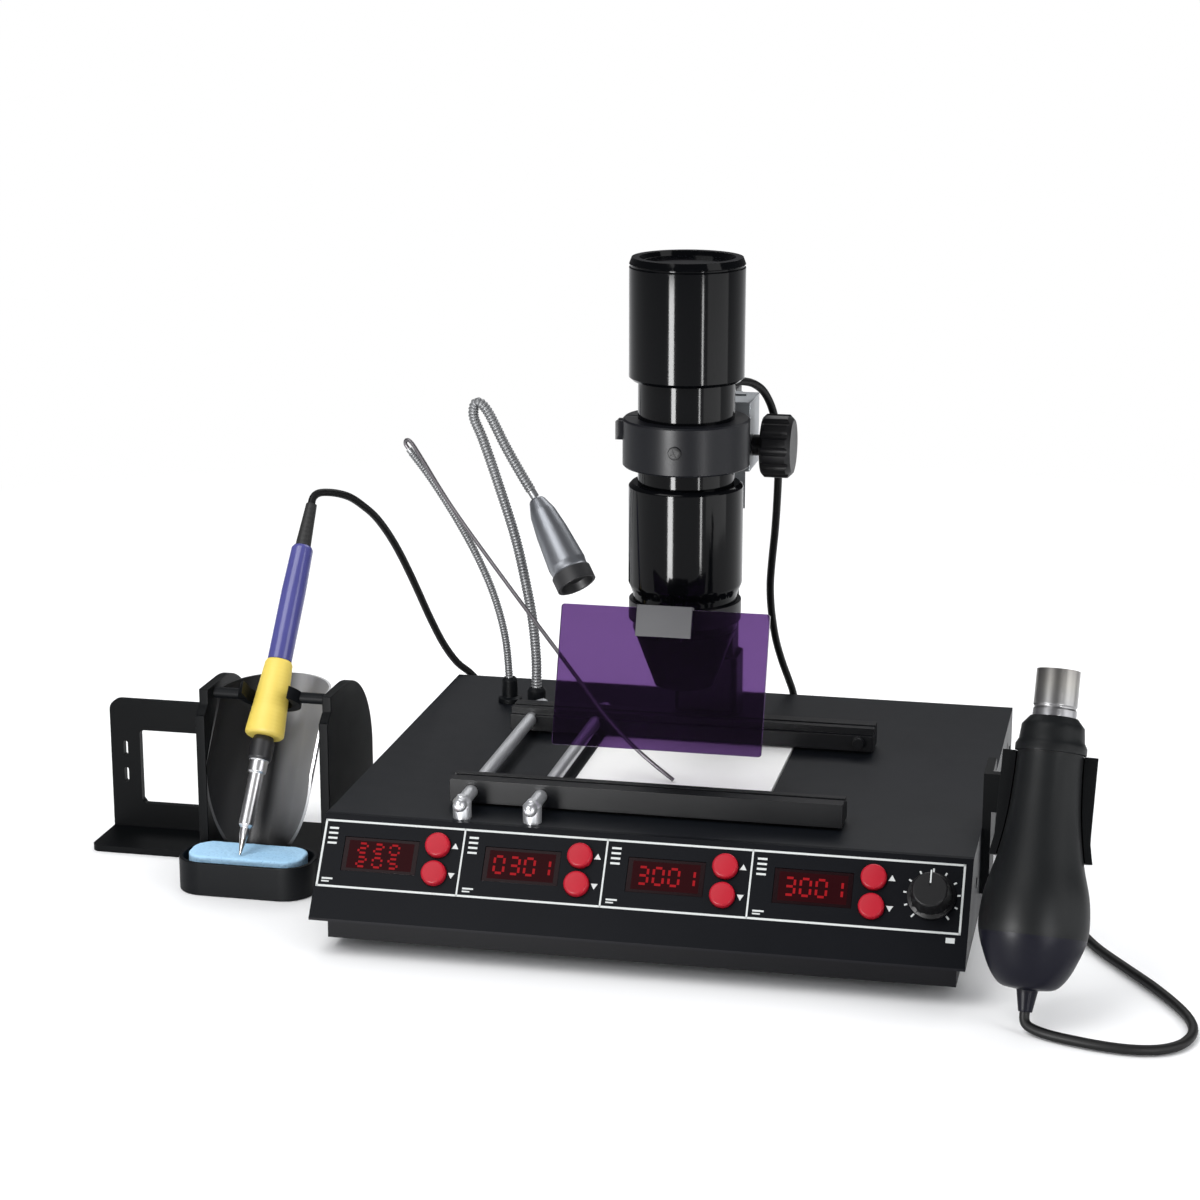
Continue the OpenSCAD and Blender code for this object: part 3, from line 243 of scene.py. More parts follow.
# %% Tube helper
def smoothed(points, steps):
    """Points of a smooth cubic curve through the given ones."""
    spread = [points[0]] + list(points) + [points[-1]]
    line = []
    for i in range(len(points) - 1):
        a, b, c, d = (Vector(p) for p in spread[i:i + 4])
        for k in range(steps):
            t = k / steps
            line.append(0.5 * (2 * b + (c - a) * t + (2 * a - 5 * b + 4 * c - d) * t ** 2
                               + (3 * b - a - 3 * c + d) * t ** 3))
    line.append(Vector(points[-1]))
    return line


def route_curve(name, line, radius, around=6):
    """A curve object along a line of points, with a round section."""
    bpy.ops.object.select_all(action="DESELECT")
    bpy.ops.curve.primitive_nurbs_path_add()
    curve = bpy.context.object
    curve.name = name
    curve.data.splines.clear()
    spline = curve.data.splines.new("POLY")
    spline.points.add(len(line) - 1)
    for point, spot in zip(spline.points, line):
        point.co = (*spot, 1)
    curve.matrix_world = Matrix.Identity(4)
    curve.data.dimensions = "3D"
    curve.data.twist_mode = "MINIMUM"
    curve.data.bevel_depth = radius
    curve.data.bevel_resolution = around - 2
    curve.data.use_fill_caps = True
    return curve


def tube(name, line, radius, around=6):
    """A mesh tube along a line of points."""
    route_curve(name, line, radius, around)
    bpy.ops.object.convert(target="MESH")
    piece = bpy.context.object
    bpy.ops.object.shade_smooth()
    piece.name = name
    return piece


def length_of(line):
    """The length of a line of points."""
    return sum((b - a).length for a, b in zip(line, line[1:]))


# %% [markdown]
# ## The cords
# Three cords hang from the moving tools: the lamp's drops behind its column, the iron's arches over to the
# back of the case and the gun's lies on the bench. Each runs from its gland on the rear panel to the tool,
# and its tool end follows the tool, so each is a mesh that blends from the case to the moving body.

# %% Cords
LAMP_ROUTE = [
    (20.2, 165, 309), (22.6, 169.1, 309.2), (26.5, 175, 309), (32, 184, 306), (37, 194, 299),
    (41, 203, 286), (43, 210, 268), (43, 216, 246), (41, 226, 223), (38.5, 236, 202), (35.5, 246, 182),
    (33, 256, 163), (32, 266, 147), (32, 276, 132), (33, 286, 116), (35.5, 296, 100), (38.5, 305, 86),
    (41, 311, 75), (42, 313, 66.5), (42, 313, 58.4),
]
IRON_ROUTE = [
    (-252.9, 183, 218), (-252.6, 185.2, 221.3), (-250, 189.5, 223.6), (-245, 195.5, 223),
    (-239.5, 203, 220.5), (-235, 211, 216.5), (-230, 220, 209.5), (-225, 230, 200.5), (-220.5, 241, 188),
    (-216.5, 252, 173.5), (-212.5, 263, 156.5), (-208.5, 274, 138), (-204, 285, 118), (-198, 296, 97.5),
    (-191, 304, 83), (-184, 309.5, 75), (-179.5, 312.5, 68.5), (-178, 313, 63), (-178, 313, 58.5),
]
GUN_ROUTE = [
    (223.6, -58.9, 10.2), (223.6, -60.6, 6.6), (227, -63.8, 4), (237, -69.5, 3.2), (252, -75, 3.2),
    (268, -79, 3.2), (284, -80, 3.2), (298, -76, 3.2), (308, -66, 3.2), (313, -50, 3.2), (311, -32, 3.2),
    (303, -12, 3.2), (290, 12, 3.2), (274, 37, 3.2), (259, 61, 3.2), (249, 82, 3.2), (240, 104, 3.2),
    (228, 125, 3.2), (218, 150, 3.2), (213, 180, 3.2), (212, 215, 3.2), (213, 250, 3.2), (214, 282, 3.2),
    (212, 305, 3.2), (205, 325, 4), (190, 340, 9), (172, 345, 20), (158, 338, 33), (151, 327, 41),
    (150, 321, 42), (150, 316.4, 42),
]
TUCK = 0.0022
CORD_THICK = 5
GUN_CORD_THICK = 5.6


def free_cord(name, route, thick, body, start, end, stiff):
    """A cord from its gland to a tool: the mesh, its bend across the joint and its facts."""
    spots = [place(*p) for p in reversed(route)]
    spots[0] += (spots[0] - spots[1]).normalized() * TUCK
    spots[-1] += (spots[-1] - spots[-2]).normalized() * TUCK
    line = smoothed(spots, 4)
    piece = tube(name, line, thick / 2000, 6)
    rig.blend(piece, "base", body, start=place(*start), end=place(*end))
    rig.replaces(piece, name.replace("_lead", "_cord"))
    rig.slot(piece, "cord")
    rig.cord(piece, exit=line[0], length=length_of(line), diameter=thick / 1000, far_end="object",
            stiffness=stiff, lay="hanging" if body != "gun" else "loose", path=line)
    print(name, "is", round(length_of(line), 3), "m long")
    return piece


lamp_lead = free_cord("lamp_lead", LAMP_ROUTE, CORD_THICK, "lamp", (38, 305, 86), (26, 176, 309), "medium")
iron_lead = free_cord("iron_lead", IRON_ROUTE, CORD_THICK, "iron", (-198, 296, 97), (-251, 187, 222), "limp")
gun_lead = free_cord("gun_lead", GUN_ROUTE, GUN_CORD_THICK, "gun", (300, 20, 3), (225, -61, 8), "limp")

# %% [markdown]
# ## Shader sums
# A finish is a few sums on noise and position. Node trees hide such sums, so one small class wraps a
# socket, and ordinary operators on it add the Math nodes. Every other node comes from its one making
# method.

# %% Socket wrapper
class Wire:
    """A socket of a node tree that can be added, scaled and compared like a number."""

    def __init__(self, tree, socket):
        self.tree = tree
        self.socket = socket

    @classmethod
    def make(cls, tree, kind, settings=None, links=None, out=0):
        """Adds a node, sets it up, links its inputs and gives one of its outputs."""
        node = tree.nodes.new(kind)
        for name, value in (settings or {}).items():
            if name == "stops":
                ramp = node.color_ramp
                while len(ramp.elements) < len(value):
                    ramp.elements.new(0.5)
                for element, (spot, colour) in zip(ramp.elements, value):
                    element.position = spot
                    element.color = colour
            else:
                setattr(node, name, value)
        for key, value in (links or {}).items():
            if isinstance(value, Wire):
                tree.links.new(value.socket, node.inputs[key])
            else:
                node.inputs[key].default_value = value
        return cls(tree, node.outputs[out])

    def sum(self, operation, a, b):
        return Wire.make(self.tree, "ShaderNodeMath", {"operation": operation}, {0: a, 1: b})

    def __add__(self, other):
        return self.sum("ADD", self, other)

    def __sub__(self, other):
        return self.sum("SUBTRACT", self, other)

    def __mul__(self, other):
        return self.sum("MULTIPLY", self, other)

    def __gt__(self, other):
        return self.sum("GREATER_THAN", self, other)

    def __lt__(self, other):
        return self.sum("LESS_THAN", self, other)

    def __rsub__(self, other):
        return self.sum("SUBTRACT", other, self)

    __radd__ = __add__
    __rmul__ = __mul__


def rgba(colour):
    return (*colour, 1)


def shade(colour, factor):
    return tuple(min(1, c * factor) for c in colour)


# %% [markdown]
# ## One recipe for a painted, moulded or bare surface
# Real paint, plastic and metal all vary a little in tone and gloss, and have a fine tooth. The recipe reads
# Object coordinates, mixes two nearby tones by a broad noise, lets the gloss wander with that noise and a
# fine one, and raises the fine noise as bump. Brushed metal stretches the fine noise along one axis.

# %% Finish recipe
class Finish:
    """A material with its own coordinates, noises and principled shader."""

    def __init__(self, name):
        self.material = bpy.data.materials.new(name)
        self.material.use_nodes = True
        self.tree = self.material.node_tree
        self.tree.nodes.clear()
        self.spot = self.node("ShaderNodeTexCoord", out=3)

    def node(self, kind, settings=None, links=None, out=0):
        return Wire.make(self.tree, kind, settings, links, out)

    def noise(self, scale, stretch=None):
        spot = self.spot
        if stretch:
            spot = self.node("ShaderNodeMapping", None, {"Vector": self.spot, "Scale": stretch})
        return self.node("ShaderNodeTexNoise", None, {"Vector": spot, "Scale": scale, "Detail": 3.0})

    def mix(self, factor, a, b):
        a = a if isinstance(a, Wire) else rgba(a)
        b = b if isinstance(b, Wire) else rgba(b)
        return self.node("ShaderNodeMix", {"data_type": "RGBA"}, {0: factor, 6: a, 7: b}, 2)

    def along(self, start, heading):
        """Distance in metres along an axis, from its start."""
        off = self.node("ShaderNodeVectorMath", {"operation": "SUBTRACT"}, {0: self.spot, 1: tuple(start)})
        return self.node("ShaderNodeVectorMath", {"operation": "DOT_PRODUCT"}, {0: off, 1: tuple(heading)}, 1)

    def ramp(self, value, low, high):
        """A value that climbs from 0 at low to 1 at high."""
        return self.node("ShaderNodeMapRange", None, {"Value": value, "From Min": low, "From Max": high})

    def bump(self, height, strength, reach=0.0002):
        return self.node("ShaderNodeBump", None, {"Height": height, "Strength": strength, "Distance": reach})

    def done(self, **sockets):
        links = {k.replace("_", " "): v for k, v in sockets.items()}
        return self.close(self.node("ShaderNodeBsdfPrincipled", None, links))

    def close(self, shader):
        out = self.tree.nodes.new("ShaderNodeOutputMaterial")
        self.tree.links.new(shader.socket, out.inputs[0])
        return self.material


def surface(name, colour, rough, metal=0.0, coat=0.0, shine=0.5, grain=1500, tooth=0.08, mottle=0.12,
            spread=0.1, stretch=None):
    """The common recipe: two tones, a wandering gloss and a fine tooth."""
    f = Finish(name)
    broad = f.noise(35)
    fine = f.noise(grain, stretch)
    tone = f.mix(broad, shade(colour, 1 - mottle), shade(colour, 1 + mottle))
    gloss = rough + (fine - 0.5) * spread + (broad - 0.5) * spread
    return f.done(Base_Color=tone, Roughness=gloss, Metallic=metal, Coat_Weight=coat,
                  Specular_IOR_Level=shine, Normal=f.bump(fine, tooth))


print("recipe ready:", surface.__name__)

# %% [markdown]
# ## The station's plain finishes
# Most of the station is black, but no two blacks are the same: powder paint on the case, gloss enamel on
# the barrel, anodised rails, grained mouldings and rubber. They differ far more in gloss than in tone, so
# each line below gives a tone, a roughness and a grain.

# %% Plain finishes
CASE = surface("case_paint", (0.0060, 0.0073, 0.0100), 0.42, shine=0.13, grain=2600, tooth=0.10)
PANEL = surface("panel_paint", (0.0034, 0.0041, 0.0062), 0.40, shine=0.06, grain=2600, tooth=0.08)
SKIRT = surface("skirt_paint", (0.0045, 0.0045, 0.0075), 0.5, shine=0.12, grain=2200, tooth=0.12)
RUBBER = surface("black_rubber", (0.008, 0.008, 0.008), 0.75, shine=0.2, grain=3000, tooth=0.2)
MOULDED = surface("moulded_black", (0.0045, 0.0055, 0.0070), 0.48, shine=0.11, grain=3500, tooth=0.25)
RING = surface("ring_enamel", (0.0085, 0.0090, 0.0115), 0.36, shine=0.13, grain=1500, tooth=0.05)
ENAMEL = surface("gloss_enamel", (0.0022, 0.0024, 0.0030), 0.09, shine=0.10, grain=500, tooth=0.012,
                 spread=0.03)
ANODISED = surface("black_anodised", (0.0058, 0.0062, 0.0075), 0.36, shine=0.16, grain=3000, tooth=0.08,
                   stretch=(0.03, 1, 1))
COLUMN = surface("column_black", (0.0055, 0.0055, 0.0070), 0.38, shine=0.2, grain=2600, tooth=0.1)
MACHINED = surface("machined_alloy", (0.36, 0.38, 0.40), 0.38, metal=0.9, grain=2500, tooth=0.1,
                   stretch=(1, 1, 0.05))
CHROME = surface("polished_rod", (0.66, 0.67, 0.69), 0.32, metal=0.75, grain=900, tooth=0.004,
                 mottle=0.04, spread=0.04)
HOSE = surface("hose_metal", (0.25, 0.255, 0.26), 0.46, metal=0.6, grain=1800, tooth=0.06)
PROBE = surface("probe_sheath", (0.16, 0.15, 0.16), 0.42, metal=0.8, grain=2500, tooth=0.1)
BRIGHT = surface("bright_steel", (0.58, 0.59, 0.60), 0.3, metal=0.95, grain=2600, tooth=0.06,
                 stretch=(0.05, 1, 1))
CLIP = surface("clip_steel", (0.055, 0.055, 0.058), 0.46, metal=0.6, grain=2600, tooth=0.1,
               stretch=(0.05, 1, 1))
DULL = surface("plain_sheet", (0.32, 0.33, 0.34), 0.5, metal=0.8, grain=2000, tooth=0.1)
STAND = surface("stand_paint", (0.0030, 0.0036, 0.0043), 0.45, shine=0.08, grain=1800, tooth=0.22)
CERAMIC = surface("white_ceramic", (0.94, 0.94, 0.92), 0.22, coat=0.3, grain=900, tooth=0.03, mottle=0.03)
RED = surface("button_red", (0.43, 0.010, 0.024), 0.36, shine=0.14, grain=2200, tooth=0.05)
KNOB = surface("knob_black", (0.0055, 0.0055, 0.0065), 0.42, shine=0.2, grain=3000, tooth=0.15)
CORE = surface("core_varnish", (0.13, 0.10, 0.05), 0.55, grain=1200, tooth=0.15)
BOARD = surface("board_green", (0.012, 0.09, 0.04), 0.4, grain=1200, tooth=0.08)
BULB = surface("frosted_bulb", (0.8, 0.76, 0.63), 0.4, grain=1500, tooth=0.05, mottle=0.03)
CORD = surface("cord_jacket", (0.0055, 0.0055, 0.0058), 0.5, shine=0.2, grain=2500, tooth=0.18)
PRINT = surface("white_print", (0.62, 0.64, 0.63), 0.5, shine=0.2, grain=4000, tooth=0.1, mottle=0.1)
WINDOW = surface("window_black", (0.010, 0.003, 0.004), 0.2, shine=0.06, grain=900, tooth=0.01)
for piece in (lamp_lead, iron_lead, gun_lead):
    piece.data.materials.clear()
    piece.data.materials.append(CORD)
print("finishes", len(bpy.data.materials))

# %% [markdown]
# ## Finishes that change along an axis
# The gun, the iron and the work light are long shapes whose colour changes along their length: a bluish
# foot, a black nut, a bright sleeve. Position along the axis is a dot product, so a mask is one comparison,
# and the mask picks the tone, the gloss and the metal at once. The gun comes first: its foot is a separate
# moulding, with a seam.

# %% Gun finish
GUN_SEAM = 0.0315
SEAM_HALF = 0.0006


def heading(lean, side):
    """The direction of an axis that leans back and then sideways, in degrees."""
    a, b = math.radians(lean), math.radians(side)
    return Vector((math.cos(a) * math.sin(b), math.sin(a), math.cos(a) * math.cos(b)))


GUN_FOOT = place(224, -55, 20)
GUN_AXIS = heading(21.7, 2.4)


def gun_finish():
    f = Finish("gun_charcoal")
    far = f.along(GUN_FOOT, GUN_AXIS)
    fine, broad = f.noise(2600), f.noise(40)
    foot = far < GUN_SEAM
    tone = f.mix(broad, (0.0052, 0.0060, 0.0066), (0.0082, 0.0092, 0.0100))
    tone = f.mix(foot, tone, (0.0045, 0.0045, 0.0110))
    seam = f.node("ShaderNodeMath", {"operation": "ABSOLUTE"}, {0: far - GUN_SEAM}) < SEAM_HALF
    height = fine * 0.3 - seam
    gloss = 0.44 + (fine - 0.5) * 0.15 - foot * 0.08
    return f.done(Base_Color=tone, Roughness=gloss, Specular_IOR_Level=0.13, Normal=f.bump(height, 0.35))


GUN = gun_finish()
print("gun finish", GUN.name)

# %% [markdown]
# ## The iron
# The iron has a tinned point, a steel sleeve and a black nut, then a ribbed yellow grip, a glossy blue
# handle and a black strain relief. All of them are measured from the point, along the same leaning axis.

# %% Iron finishes
IRON_POINT = place(-263, 55, 24.2)
IRON_AXIS = heading(33.4, 3)
TIN_END = 0.010
NUT_START = 0.0605
RELIEF_START = 0.2032


def iron_metal():
    f = Finish("iron_sleeve")
    far = f.along(IRON_POINT, IRON_AXIS)
    fine, broad = f.noise(2400), f.noise(60)
    nut = far > NUT_START
    tin = far < TIN_END
    steel = f.mix(broad, (0.52, 0.52, 0.53), (0.68, 0.68, 0.69))
    tone = f.mix(tin, steel, (0.42, 0.40, 0.37))
    tone = f.mix(nut, tone, (0.012, 0.012, 0.014))
    return f.done(Base_Color=tone, Metallic=1 - nut * 0.85, Roughness=0.24 + fine * 0.14 + nut * 0.15,
                  Normal=f.bump(fine, 0.08))


def iron_handle_finish():
    f = Finish("iron_blue")
    far = f.along(IRON_POINT, IRON_AXIS)
    fine, broad = f.noise(2600), f.noise(50)
    relief = far > RELIEF_START
    ribs = f.node("ShaderNodeMath", {"operation": "SINE"}, {0: far * 2000}) * relief
    tone = f.mix(broad, (0.064, 0.064, 0.235), (0.092, 0.093, 0.31))
    tone = f.mix(relief, tone, (0.012, 0.012, 0.012))
    return f.done(Base_Color=tone, Roughness=0.18 + relief * 0.4 + (fine - 0.5) * 0.06,
                  Normal=f.bump(fine * 0.15 + ribs, 0.3))


def grip_finish():
    f = Finish("grip_yellow")
    far = f.along(IRON_POINT, IRON_AXIS)
    fine, broad = f.noise(2800), f.noise(60)
    tone = f.mix(broad, (0.80, 0.60, 0.09), (0.88, 0.68, 0.13))
    ribs = f.node("ShaderNodeMath", {"operation": "SINE"}, {0: far * 2400})
    height = fine * 0.4 + ribs * 0.5
    return f.done(Base_Color=tone, Roughness=0.5 + (fine - 0.5) * 0.15, Normal=f.bump(height, 0.25))


IRON_METAL, BLUE, YELLOW = iron_metal(), iron_handle_finish(), grip_finish()
print("iron finishes", IRON_METAL.name, BLUE.name, YELLOW.name)

# %% [markdown]
# ## The work light, the nozzle and the guard
# The work light is turned alloy with a black rim. The nozzle has browned towards its hot mouth. The guard
# round the iron has painted shade where it is turned away and a painted highlight at its upper right edge,
# so two ramps are multiplied.

# %% Metal that changes along its length
HEAD_FOOT = place(-116.6, 228, 218.7)
HEAD_AXIS = Vector((34.4, -28, -51.1)).normalized()
RIM_START = 0.0565


def light_finish():
    f = Finish("light_alloy")
    far = f.along(HEAD_FOOT, HEAD_AXIS)
    fine, broad = f.noise(2200), f.noise(45)
    rim = far > RIM_START
    tone = f.mix(broad, (0.20, 0.21, 0.23), (0.26, 0.27, 0.29))
    tone = f.mix(rim, tone, (0.02, 0.02, 0.022))
    return f.done(Base_Color=tone, Metallic=0.85 - rim * 0.75, Roughness=0.33 + fine * 0.12 + rim * 0.1,
                  Normal=f.bump(fine, 0.06))


def nozzle_finish():
    f = Finish("nozzle_steel")
    far = f.along(GUN_FOOT, GUN_AXIS)
    fine, broad = f.noise(2600), f.noise(60)
    heat = f.ramp(far + broad * 0.006, 0.155, 0.183)
    stops = [
        (0.0, rgba((0.24, 0.24, 0.25))),
        (0.6, rgba((0.25, 0.245, 0.23))),
        (1.0, rgba((0.19, 0.18, 0.175))),
    ]
    tint = f.node("ShaderNodeValToRGB", {"stops": stops}, {0: heat})
    return f.done(Base_Color=tint, Metallic=0.96, Roughness=0.24 + fine * 0.16, Normal=f.bump(fine, 0.06))


def guard_finish():
    f = Finish("guard_metal")
    high = f.along(place(-257.5, 0, 62), Vector((0, 0, 1)))
    right = f.along(place(-262, 0, 0), Vector((1, 0, 0)))
    fine, broad = f.noise(2200), f.noise(40)
    rise = f.ramp(high + broad * 0.01, -0.035, 0.024)
    turn = f.ramp(right, 0.0, 0.018)
    # painted light: the guard's colour is painted dark as shade where it turns away and bright as a highlight at its
    # upper right edge
    painted_lit_side = rise * turn
    tone = f.mix(painted_lit_side, (0.010, 0.010, 0.011), (0.64, 0.64, 0.65))
    return f.done(Base_Color=tone, Metallic=0.2 + painted_lit_side * 0.6, Roughness=0.46 + (fine - 0.5) * 0.1,
                  Specular_IOR_Level=0.3, Normal=f.bump(fine, 0.12))


LIGHT, NOZZLE, GUARD = light_finish(), nozzle_finish(), guard_finish()
print("metal finishes", LIGHT.name, NOZZLE.name, GUARD.name)

# %% [markdown]
# ## The purple filter and the lens
# The eye shield is a clear sheet that tints the light passing through it. The lens under the lamp is clear
# glass.

# %% Clear finishes
def shield_finish():
    f = Finish("purple_filter")
    broad = f.noise(12)
    tone = f.mix(broad, (0.114, 0.054, 0.180), (0.136, 0.066, 0.212))
    return f.done(Base_Color=tone, Roughness=0.04 + broad * 0.03, Transmission_Weight=1.0, IOR=1.3,
                  Coat_Weight=0.1)


def lens_finish():
    f = Finish("lens_glass")
    broad = f.noise(40)
    return f.done(Base_Color=rgba((0.85, 0.9, 0.92)), Roughness=0.03 + broad * 0.03,
                  Transmission_Weight=1.0, IOR=1.45)


PURPLE, LENS = shield_finish(), lens_finish()
print("clear finishes", PURPLE.name, LENS.name)

# %% [markdown]
# ## Edges on the solids
# A solid's edges are perfectly sharp, and no real edge is: a folded sheet, a moulding and a machined block
# all have a small round that catches the light. Each visible solid is copied, its loose triangles are
# merged and its flat faces dissolved, and a bevel of its own width is applied. Weighted normals keep the
# large faces flat to the light, so that only the rounds shade. The copy then stands for the solid. The
# frame beside the iron is cut from plate, so its corners are rounded more, before the bevel.

# %% Corner rounds
FRAME_BAR = 0.020
FRAME_FLANGE = 0.008
FRAME_SLOT = 0.010


def round_corners(piece, axis, radius, wanted):
    """Rounds the edges that run along one axis, where a test on an edge's middle picks them."""
    bpy.ops.object.mode_set(mode="EDIT")
    bpy.ops.mesh.select_mode(type="EDGE")
    bpy.ops.mesh.select_all(action="DESELECT")
    bpy.ops.object.mode_set(mode="OBJECT")
    for edge in piece.data.edges:
        a, b = (piece.data.vertices[v].co for v in edge.vertices)
        edge.select = abs((b - a).normalized()[axis]) > 0.999 and wanted((a + b) / 2)
    bpy.ops.object.mode_set(mode="EDIT")
    bpy.ops.mesh.bevel(offset=radius / 1000, segments=5, affect="EDGES", clamp_overlap=True)
    bpy.ops.object.mode_set(mode="OBJECT")


def near(a, b):
    """Whether two places agree to less than half a millimetre."""
    return abs(a - b) < 0.0004


def soften_frame(piece):
    """The side frame is cut from plate: its outer corners, window and two slots have round corners."""
    low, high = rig.box("side_frame")
    round_corners(piece, 1, 7.0, lambda m: near(m.x, low[0]) and near(m.z, high[2]))
    window = (low[0] + FRAME_BAR, high[0] - FRAME_FLANGE)
    round_corners(piece, 1, 3.0, lambda m: any(near(m.x, side) for side in window))
    slot = low[0] + FRAME_SLOT
    round_corners(piece, 1, 1.2, lambda m: abs(m.x - slot) < 0.002)
    round_corners(piece, 2, 6.0, lambda m: near(m.x, low[0]) and near(m.y, low[1]))


print("side frame: bar", FRAME_BAR, "flange", FRAME_FLANGE)

# %% [markdown]
# ## Copying a solid and rounding it
# The bevel can leave a few faces without any area where three rounds meet. They are dissolved and the
# pinholes they leave are filled, so that every skin stays closed.

# %% Dressing a solid
MERGE = 2e-6
FLAT_ANGLE = math.radians(0.4)
CORNER_ANGLE = math.radians(35)
SMOOTH_ANGLE = math.radians(32)


def dress(node, material, width, segments=2):
    """A copy of a solid with rounded edges, riding where the solid rides."""
    bpy.ops.object.select_all(action="DESELECT")
    solid = frame["nodes"][node]
    solid.select_set(True)
    bpy.context.view_layer.objects.active = solid
    bpy.ops.object.duplicate()
    piece = bpy.context.object
    piece.name = node + "_skin"
    bpy.ops.object.parent_clear(type="CLEAR_KEEP_TRANSFORM")
    bpy.ops.object.mode_set(mode="EDIT")
    bpy.ops.mesh.select_all(action="SELECT")
    bpy.ops.mesh.remove_doubles(threshold=MERGE)
    bpy.ops.mesh.dissolve_limited(angle_limit=FLAT_ANGLE)
    bpy.ops.object.mode_set(mode="OBJECT")
    if node == "side_frame":
        soften_frame(piece)
    if width:
        bevel = piece.modifiers.new("edge", "BEVEL")
        bevel.width = width / 1000
        bevel.segments = segments
        bevel.limit_method = "ANGLE"
        bevel.angle_limit = CORNER_ANGLE
        bpy.ops.object.modifier_apply(modifier="edge")
        bpy.ops.object.mode_set(mode="EDIT")
        bpy.ops.mesh.select_all(action="SELECT")
        bpy.ops.mesh.dissolve_degenerate(threshold=MERGE)
        bpy.ops.mesh.fill_holes(sides=5)
        bpy.ops.object.mode_set(mode="OBJECT")
    bpy.ops.object.shade_smooth_by_angle(angle=SMOOTH_ANGLE)
    level = piece.modifiers.new("level", "WEIGHTED_NORMAL")
    level.keep_sharp = True
    bpy.ops.object.modifier_apply(modifier="level")
    piece.data.materials.clear()
    piece.data.materials.append(material)
    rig.replaces(piece, node)
    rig.ride(piece, body_of_node[node])
    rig.slot(piece, slot_of_node[node])
    return piece


print("edges are rounded above", round(math.degrees(CORNER_ANGLE)), "degrees")

# %% [markdown]
# ## Which solid gets which finish
# Each row names a solid, its finish and the width of its edge rounds in millimetres: wide on mouldings,
# narrow on sheet, none where a rack's teeth would suffer. The pieces inside the case and the lamp stay as
# they are and only take a finish.

# %% Dressing the solids
EDGES = {
    "base_pan": (SKIRT, 0.5), "top_cover": (CASE, 0.5), "front_panel": (PANEL, 0.3),
    "rear_panel": (PANEL, 0.3), "rubber_feet": (RUBBER, 0.6), "display_windows": (WINDOW, 0.2),
    "mains_inlet": (MOULDED, 0.4), "heater_plate": (CERAMIC, 0.6), "guide_rods": (CHROME, 0.2),
    "lamp_column": (COLUMN, 0.7), "rack_plate": (MACHINED, 0.0), "arm_sockets": (MOULDED, 0.3),
    "light_head": (LIGHT, 0.3), "gun_cradle": (STAND, 0.7), "cord_glands": (RUBBER, 0.2),
    "stand_base": (STAND, 0.5), "stand_cheeks": (STAND, 0.7), "stand_guard": (GUARD, 0.2),
    "iron_ring": (MOULDED, 0.5), "side_frame": (STAND, 0.4), "sponge_tray": (MOULDED, 0.6),
    "air_knob": (KNOB, 0.15), "power_rocker": (RED, 0.4), "front_rail": (ANODISED, 0.5),
    "rear_rail": (ANODISED, 0.5), "lamp_carriage": (MACHINED, 0.6), "clamp_ring": (RING, 0.5),
    "lamp_upper": (ENAMEL, 0.5), "lamp_lower": (ENAMEL, 0.5), "lens_cone": (COLUMN, 0.2),
    "lamp_lens": (LENS, 0.2), "shield_bracket": (COLUMN, 0.3), "focus_knob": (KNOB, 0.6),
    "shield_clip": (CLIP, 0.25), "eye_shield": (PURPLE, 0.3), "gun_body": (GUN, 0.4),
    "gun_nozzle": (NOZZLE, 0.2), "iron_tip": (IRON_METAL, 0.2), "iron_grip": (YELLOW, 0.5),
    "iron_handle": (BLUE, 0.4),
}
for number in range(1, 5):
    for end in ("upper", "lower"):
        EDGES["button_%d_%s" % (number, end)] = (RED, 0.4)
skins = {node: dress(node, material, width) for node, (material, width) in EDGES.items()}
INNER = {
    "control_board": BOARD, "transformer": CORE, "heater_tray": DULL, "ir_bulb": BULB, "focus_pinion": BRIGHT,
}
for node, material in INNER.items():
    mesh = frame["nodes"][node].data
    mesh.materials.clear()
    mesh.materials.append(material)
print("skins", len(skins), "faces", sum(len(s.data.polygons) for s in skins.values()))

# %% [markdown]
# ## Wound metal hoses
# The two flexible arms are steel strip wound into a hose, so their surface is a stack of round ridges. One
# ridge is a small ring; an array fits copies of it to the length of the route, and a curve modifier bends
# the stack along it. A plain core inside closes the gaps between ridges.

# %% Flexible arms
LIGHT_ROUTE = [
    (-116, 226, 76.2), (-116, 226, 97.2), (-116.2, 226.3, 111.2), (-118.2, 227, 133.2), (-122, 227, 156.2),
    (-130, 228, 191.2), (-142, 228, 229.2), (-151, 228, 255.2), (-157, 228, 270.2), (-155, 228, 279.2),
    (-148, 228, 274.2), (-136, 228, 251.2), (-125, 228, 232.2), (-116.6, 228, 218.7),
]
SENSOR_ROUTE = [
    (-139, 246, 76.2), (-139.5, 246, 93.2), (-142, 246, 119.2), (-149, 246, 146.2), (-160, 246, 172.2),
    (-175, 246, 199.2), (-192, 246, 225.2), (-206, 246, 243.2),
]
PROBE_ROUTE = [
    (-206.2, 246, 243.5), (-208, 245.6, 246.4), (-207.2, 244.8, 249.2), (-203.5, 243, 248.4),
    (-196, 239.5, 239.5), (-171, 226, 209), (-124, 192, 166), (-70, 139, 127), (-46, 116, 109),
    (-22, 102, 92), (0, 96, 77.6),
]
OVERLAP = 0.93
PROBE_RADIUS = 0.0013


